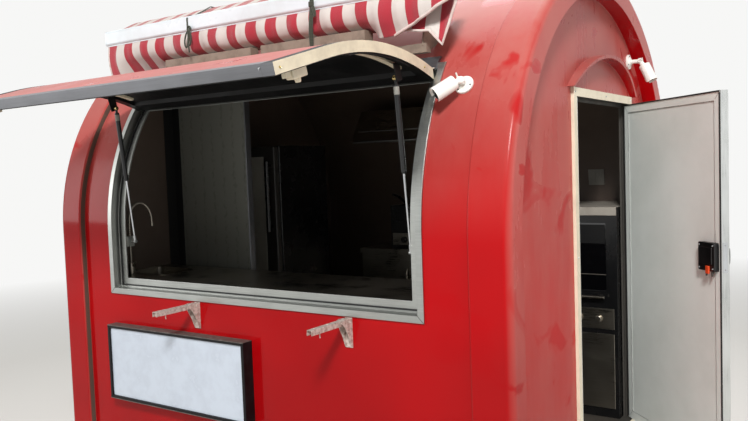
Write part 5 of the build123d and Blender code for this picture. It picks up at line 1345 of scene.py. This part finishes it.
def makeFridge():
    left, right, y, top = (fridgeLook[k] for k in ("left", "right", "y", "top"))
    bm = bmesh.new()
    # cabinet, magnetic seal, door, its pale face and the plinth
    newBox(bm, (left + 0.002, y + 0.048, 0.45), (right, y + fridgeLook["depth"], top), 0.006)
    paintVerts(newBox(bm, (left + 0.010, y + 0.040, 0.56), (right - 0.008, y + 0.050, top - 0.01)), 1)
    paintVerts(newBox(bm, (left + 0.004, y, 0.555), (right, y + 0.041, top - 0.004), 0.007, 3), 4)
    paintVerts(newBox(bm, (left + 0.010, y - 0.002, 0.60), (right - 0.082, y + 0.004, top - 0.063), 0.003),
               3)
    paintVerts(newBox(bm, (left + 0.010, y + 0.020, 0.452), (right - 0.010, y + 0.05, 0.545), 0.003), 2)
    for i in range(7):
        z = 0.466 + i * 0.011
        newBox(bm, (left + 0.03, y + 0.014, z), (right - 0.03, y + 0.022, z + 0.005), 0.001)
    x = right - 0.032
    low, high = fridgeLook["handle"]
    verts = newRod(bm, (x, y - 0.034, low - 0.03), (x, y - 0.034, high + 0.03), 0.015, segments=24,
                   bevel=0.003)
    for z in (low, high):
        verts += newRod(bm, (x, y - 0.034, z), (x, y, z), 0.008, segments=20)
    paintVerts(verts, 2)
    for z in (0.558, top - 0.002):
        hinge = near((left + 0.03, y + 0.02, z), ((0, 0, -4), (0, 0, 6)))
        newRod(bm, *hinge, 0.012, segments=20, bevel=0.002)
    materials = ["appliance_black", "seal", "appliance_black", "fridge_face", "fridge_edge"]
    finishPiece(bm, "fridgeUpright", "trailer", materials, "fridge")


partitionLook = {"xs": (-1.158, -0.592), "ys": (-0.430, -0.390), "zs": (0.452, 2.298), "corner": -1.106}


def makePartition():
    xs, ys, zs = (partitionLook[k] for k in ("xs", "ys", "zs"))
    bm = bmesh.new()
    newBox(bm, (xs[0], ys[0], zs[0]), (xs[1], ys[1], zs[1]), 0.003)
    # folded aluminium edge down its free side and over its top
    low, high = (xs[1] - 0.002, ys[0] - 0.0005, zs[0]), (xs[1] + 0.006, ys[1] + 0.0005, zs[1] + 0.002)
    paintVerts(newBox(bm, low, high, 0.002), 1)
    # painted shade: black strips in the corner where it meets the end wall stand for the shade there
    low, high = zs[0] + 0.003, zs[1] - 0.003
    corner = partitionLook["corner"]
    paintVerts(newBox(bm, (xs[0] - 0.001, ys[0] - 0.004, low), (corner, ys[0] + 0.001, high), 0.001), 2)
    paintVerts(newBox(bm, (xs[0] - 0.0025, ys[0] - 0.070, low), (xs[0] + 0.002, ys[0] + 0.001, high),
                      0.001), 2)
    finishPiece(bm, "partitionFilmed", "trailer", ["film_panel", "hatch_rail", "seal"], "partition")


hoodLook = {"left": -0.5, "right": 0.6, "filters": 3, "vanes": 9}


def makeHood():
    dressNode("extractor_hood", 1.5, angle=40)
    bm = bmesh.new()
    # baffle filters: vanes in a frame with a finger ring each, and a rail along the front
    width = (hoodLook["right"] - hoodLook["left"] - 0.06) / hoodLook["filters"]
    for i in range(hoodLook["filters"]):
        x0 = hoodLook["left"] + 0.03 + i * width
        for y in (0.475, 0.800):
            newBox(bm, (x0 + 0.004, y, 2.035), (x0 + width - 0.004, y + 0.015, 2.050), 0.002)
        for k in range(hoodLook["vanes"]):
            x = x0 + 0.02 + (width - 0.04) * k / (hoodLook["vanes"] - 1)
            newBox(bm, (x - 0.009, 0.485, 2.038), (x + 0.009, 0.805, 2.044), 0.002)
        ring = near((x0 + width / 2, 0.50, 2.018), ((-20, 0, 18), (-18, 0, 0), (18, 0, 0), (20, 0, 18)))
        newTube(bm, ring, 0.0025)
    newBox(bm, (hoodLook["left"] + 0.01, 0.436, 1.972), (hoodLook["right"] - 0.01, 0.462, 1.987), 0.004)
    finishPiece(bm, "hoodFilters", "trailer", "filter")


fryerLook = {"left": -0.3, "right": 0.06, "front": 0.56, "top": 1.575, "knob": 1.36}


def makeFryer():
    left, right, front, top = (fryerLook[k] for k in ("left", "right", "front", "top"))
    dressNode("fryer", 1.5, angle=40)
    bm = bmesh.new()
    middle = (left + right) / 2
    for x0, x1 in ((left + 0.03, middle - 0.01), (middle + 0.01, right - 0.03)):
        x = (x0 + x1) / 2
        # wire basket hung in each tank, with its black grip
        ends = (x0 + 0.010, x1 - 0.010)
        for z in (top - 0.006, top - 0.05, top - 0.10):
            ring = [(ends[0], front + 0.050, z), (ends[1], front + 0.050, z), (ends[1], front + 0.320, z),
                    (ends[0], front + 0.320, z)]
            newTube(bm, ring, 0.0014, cyclic=True, straight=True, sides=4)
        for k in range(7):
            y = front + 0.058 + k * 0.042
            hoop = [(ends[0], y, top - 0.006), (ends[0], y, top - 0.115), (ends[1], y, top - 0.115),
                    (ends[1], y, top - 0.006)]
            newTube(bm, hoop, 0.0012, straight=True, sides=4)
        grip = near((x, front, top), ((0, 50, -4), (0, 10, 22), (0, -50, 60), (0, -120, 75)))
        paintVerts(newTube(bm, grip, 0.008), 1)
        # thermostat knob with its pointer, and a lamp beside it
        knob = fryerLook["knob"]
        verts = newRod(bm, (x, front, knob), (x, front - 0.020, knob), 0.021, 0.018, 26, 0.003)
        verts += newBox(bm, (x - 0.003, front - 0.026, knob - 0.015),
                        (x + 0.003, front - 0.018, knob + 0.018), 0.001)
        paintVerts(verts, 1)
        paintVerts(newBall(bm, (x + 0.045, front, knob + 0.015), 0.005, 12, (1, 0.6, 1)), 2)
    newBox(bm, (left + 0.012, front - 0.002, 1.325), (right - 0.012, front + 0.002, 1.400), 0.001)
    finishPiece(bm, "fryerFittings", "trailer", ["stainless", "appliance_black", "lamp_amber"])


ovenLook = {"left": 0.64, "right": 1.156, "front": 0.47, "under": 1.529, "knob": 0.98}


def ovenFace(centre, normal):
    return int(centre.z <= ovenLook["under"] - 0.001)


def makeOven():
    left, right, front, under, knob = (ovenLook[k] for k in ("left", "right", "front", "under", "knob"))
    dressNode("oven", 1.5, ["worktop", "appliance_black"], ovenFace, angle=40)
    bm = bmesh.new()
    # dark glass, a dull band across it and a thin bright line below
    for index, ends, ys, zs, bevel in ((0, (0.058, 0.058), (0.006, 0.014), (0.402, 0.038), 0.002),
                                       (1, (0.066, 0.064), (0.0035, 0.0062), (0.150, 0.050), 0.001),
                                       (2, (0.060, 0.060), (0.003, 0.0064), (0.318, 0.312), 0.001)):
        low = (left + ends[0], front + ys[0], under - zs[0])
        paintVerts(newBox(bm, low, (right - ends[1], front + ys[1], under - zs[1]), bevel), index)
    finishPiece(bm, "ovenGlass", "trailer", ["glass", "hatch_under", "stainless"])
    bm = bmesh.new()
    # bar handle, four knobs on their panel and the lower door
    y, z = front - 0.034, under - 0.43
    newRod(bm, (left + 0.06, y, z), (right - 0.06, y, z), 0.009, segments=22, bevel=0.002)
    for x in (left + 0.09, right - 0.09):
        newRod(bm, (x, y, z), (x, front + 0.001, z), 0.006, segments=16)
    for i in range(4):
        x = left + 0.10 + i * 0.105
        newRod(bm, (x, front, knob), (x, front - 0.022, knob), 0.020, 0.017, 26, 0.003)
    newBox(bm, (left + 0.02, front - 0.003, knob - 0.055), (right - 0.02, front + 0.001, knob + 0.055),
           0.001)
    newBox(bm, (left + 0.02, front - 0.004, 0.50), (right - 0.02, front + 0.001, 0.90), 0.002)
    finishPiece(bm, "ovenFittings", "trailer", "stainless")


switchLook = {"xs": (0.820, 0.915), "ys": (1.0545, 1.0602), "zs": (1.668, 1.762), "rockers": (0.832, 0.871)}
battenLook = {"half": 0.45, "wide": 0.030, "zs": (2.560, 2.604)}


def makeInside():
    makeCounters()
    makeSink()
    makeFridge()
    makePartition()
    makeHood()
    makeFryer()
    makeOven()
    bm = bmesh.new()
    # switch plate with two rockers, which follows the curved wall
    xs, ys, zs = (switchLook[k] for k in ("xs", "ys", "zs"))
    newBox(bm, (xs[0], ys[0], zs[0]), (xs[1], ys[1], zs[1]), 0.0015)
    for x in switchLook["rockers"]:
        newBox(bm, (x, ys[0] - 0.002, zs[0] + 0.014), (x + 0.032, ys[0] + 0.0015, zs[1] - 0.014), 0.001)
    for vert in bm.verts:
        over = max(0.0, vert.co.z - trailer["archZ"])
        vert.co.y += math.sqrt(trailer["innerR"] ** 2 - over ** 2) - trailer["innerR"]
    finishPiece(bm, "switchPlateFitted", "trailer", "switch_white", "switch_plate")
    bm = bmesh.new()
    # batten light on the ceiling
    half, wide, zs = (battenLook[k] for k in ("half", "wide", "zs"))
    newBox(bm, (-half, -wide, zs[0]), (half, wide, zs[1]), 0.008)
    finishPiece(bm, "ceilingBatten", "trailer", "switch_white")
    dressNode("floor_deck", 1.0)


makeInside()
print("inside set")

# wheels: moulded tyres with blocks, pressed rims with studs
wheelLook = {"x": 0.08, "y": 0.965, "z": 0.281, "blocks": 54, "studs": 5, "circle": 56}

# half section of the tyre from its bead to its tread: (across, from the hub)
tyreSection = ((-0.067, 0.177), (-0.073, 0.184), (-0.0800, 0.200), (-0.0825, 0.222), (-0.0805, 0.243),
               (-0.0740, 0.262), (-0.0640, 0.2735), (-0.0610, 0.2740), (-0.0600, 0.2800), (-0.040, 0.2808),
               (-0.0385, 0.2740), (-0.0315, 0.2740), (-0.0300, 0.2810), (-0.0070, 0.2810),
               (-0.0055, 0.2742),
               (0, 0.2742))


def makeTyre(name, hub):
    bm = bmesh.new()
    section = [*tyreSection, *((-across, out) for across, out in reversed(tyreSection[:-1]))]
    verts = [bm.verts.new(hub + Vector((0, across, out))) for across, out in section]
    edges = [bm.edges.new(pair) for pair in zip(verts, verts[1:])]
    bmesh.ops.spin(bm, geom=verts + edges, cent=hub, axis=(0, 1, 0), angle=math.tau,
                   steps=wheelLook["blocks"], use_merge=True, use_duplicate=False)
    bmesh.ops.remove_doubles(bm, verts=bm.verts, dist=0.0001)
    bmesh.ops.recalc_face_normals(bm, faces=bm.faces)
    # every other tread face is pressed in to part the blocks, and all of the middle rib
    blocks = []
    for face in bm.faces:
        place = face.calc_center_median() - hub
        turn = math.atan2(place.z, place.x) % math.tau
        even = int(turn / math.tau * wheelLook["blocks"] + 0.25) % 2 == 0
        if math.hypot(place.x, place.z) > 0.2785 and (even or abs(place.y) < 0.01):
            blocks.append(face)
    bmesh.ops.inset_individual(bm, faces=blocks, thickness=0.0016, depth=-0.0004)
    bmesh.ops.solidify(bm, geom=bm.faces[:], thickness=0.006)
    finishPiece(bm, "tyreMoulded" + name.title(), "wheel_" + name, "tyre", "tyre_" + name, sharp=40)


def makeWheels():
    for side, name in ((-1, "near"), (1, "far")):
        hub = Vector((wheelLook["x"], side * wheelLook["y"], wheelLook["z"]))
        makeTyre(name, hub)
        # wheel bolts with their threads, the hub's cap and the valve
        bm = bmesh.new()
        out = hub.y + side * 0.024
        for turn in range(wheelLook["studs"]):
            a = turn * math.tau / wheelLook["studs"] + 0.3
            reach = wheelLook["circle"] * mm
            x, z = hub.x + reach * math.cos(a), hub.z + reach * math.sin(a)
            newRod(bm, (x, out - side * 0.001, z), (x, out + side * 0.012, z), 0.0105, 0.0095, 6, 0.001)
            newRod(bm, (x, out + side * 0.010, z), (x, out + side * 0.018, z), 0.006, segments=14,
                   bevel=0.0008)
        newRod(bm, (hub.x, out, hub.z), (hub.x, hub.y + side * 0.053, hub.z), 0.030, 0.024, 36, 0.004)
        newTube(bm, near(hub, ((140, side * 40, 0), (136, side * 52, 0), (128, side * 62, 0))), 0.004)
        finishPiece(bm, "wheelStuds" + name.title(), "wheel_" + name, "zinc")
        dressNode("rim_" + name, 1.5, angle=40)


makeWheels()
print("wheels set")


# underside: every part in its own finish, with its edges broken
towLook = {"boltX": (-2.21, -2.13), "boltY": 0.045, "boltZ": 0.424,
           "handle": ((-2.344, 0, 0.448), (-2.244, 0, 0.498)),
           "grip": ((-2.285, 0, 0.4775), (-2.228, 0, 0.506)),
           "crank": ((-2.104, 0, 0.862), (-2.104, 0, 0.932)),
           "jockey": (-1.945, 0.1), "jockeyRim": 0.060}


def makeUnderside():
    for node in ("chassis_frame", "leg_brackets", "drawbar", "axle", "jockey_fork", "wheel_housings",
                 "leg_front_near", "leg_front_far", "leg_rear_near", "leg_rear_far"):
        dressNode(node, 2.0, angle=40)
    dressNode("jockey_tube", 1.0, angle=50)
    dressNode("jockey_leg", 1.0, angle=50)
    dressNode("coupling_head", 1.2, angle=45)
    bm = bmesh.new()
    # bolts through the drawbar's nose and the tube of the coupling's handle
    z = towLook["boltZ"]
    for x in towLook["boltX"]:
        for y in (-towLook["boltY"], towLook["boltY"]):
            newRod(bm, (x, y, z), (x, y, z + 0.010), 0.011, segments=6, bevel=0.001)
    newRod(bm, *towLook["handle"], 0.0125, 0.0115, 24, 0.002)
    finishPiece(bm, "couplingBolts", "trailer", "zinc")
    bm = bmesh.new()
    # grips on the coupling's handle and on the jockey wheel's crank
    for ends in (towLook["grip"], towLook["crank"]):
        newRod(bm, *ends, 0.0135, 0.0135, 24, 0.003)
    finishPiece(bm, "rubberGrips", "trailer", "seal")


makeUnderside()


def jockeyFace(centre, normal):
    x, z = towLook["jockey"]
    return int(math.hypot(centre.x - x, centre.z - z) <= towLook["jockeyRim"])


dressNode("jockey_wheel", 1.0, ["tyre", "wheel_steel"], jockeyFace, angle=50)
print("underside set")

# studio: pale floor that runs into the backdrop, soft lamps
studio = {"floor": "#DDDBD6", "backdrop": (0.93, 0.93, 0.92, 1.0), "ambient": 0.38, "fade": (5.0, 11.0)}


def makeStudio():
    material, add, shader = newMaterial("paleStudioFloor", Roughness=0.65)
    shader.inputs["Base Color"].default_value = hexColor(studio["floor"])
    place = add("TexCoord").outputs["Object"]
    distance = add("VectorMath", {0: place}, operation="LENGTH").outputs["Value"]
    far = add("MapRange", {"Value": distance, "From Min": studio["fade"][0], "From Max": studio["fade"][1]})
    rays = add("LightPath")
    seen = add("Math", {0: rays.outputs["Is Camera Ray"], 1: rays.outputs["Is Glossy Ray"]},
               operation="MAXIMUM")
    amount = add("Math", {0: far, 1: seen}, operation="MULTIPLY")
    glow = add("Emission", {"Color": studio["backdrop"], "Strength": 1.0})
    blend = add("MixShader", {0: amount, 1: shader.outputs[0], 2: glow})
    wire(material.node_tree.nodes["Material Output"], Surface=blend)
    bm = bmesh.new()
    bmesh.ops.create_grid(bm, x_segments=1, y_segments=1, size=40)
    mesh = bpy.data.meshes.new("studioFloor")
    bm.to_mesh(mesh)
    bm.free()
    mesh.materials.append(material)
    floorPiece = bpy.data.objects.new("studioFloor", mesh)
    bpy.context.collection.objects.link(floorPiece)

    world = bpy.data.worlds.new("studioWorld")
    bpy.context.scene.world = world
    world.use_nodes = True
    add = partial(addNode, world.node_tree)
    background = world.node_tree.nodes["Background"]
    rays = add("LightPath")
    seen = add("Math", {0: rays.outputs["Is Camera Ray"], 1: rays.outputs["Is Glossy Ray"]},
               operation="MAXIMUM")
    seen = add("Math", {0: seen, 1: rays.outputs["Is Transmission Ray"]}, operation="MAXIMUM")
    strength = add("MapRange", {"Value": seen, "To Min": studio["ambient"], "To Max": 1.0})
    wire(background, Strength=strength)
    background.inputs["Color"].default_value = studio["backdrop"]

    # soft lamps: name, place, aim, size, power
    lamps = (
        ("keyLamp", (4.0, -6.3, 6.4), (0.2, -0.2, 1.5), 1.2, 620),
        ("fillLamp", (-5.6, -5.2, 3.0), (0.4, 0, 1.4), 3.0, 90),
        ("endLamp", (7.0, 1.5, 3.6), (1.2, 0, 1.3), 3.5, 70),
        ("topLamp", (-0.5, 2.5, 7.5), (0, 0, 1.5), 5.0, 240),
    )
    for name, place, aim, size, power in lamps:
        data = bpy.data.lights.new(name, "AREA")
        data.size = size
        data.energy = power
        lamp = bpy.data.objects.new(name, data)
        lamp.location = place
        lamp.rotation_euler = (Vector(aim) - Vector(place)).to_track_quat("-Z", "Y").to_euler()
        bpy.context.collection.objects.link(lamp)
    bpy.context.scene.view_settings.view_transform = "Standard"


makeStudio()
print("studio set")
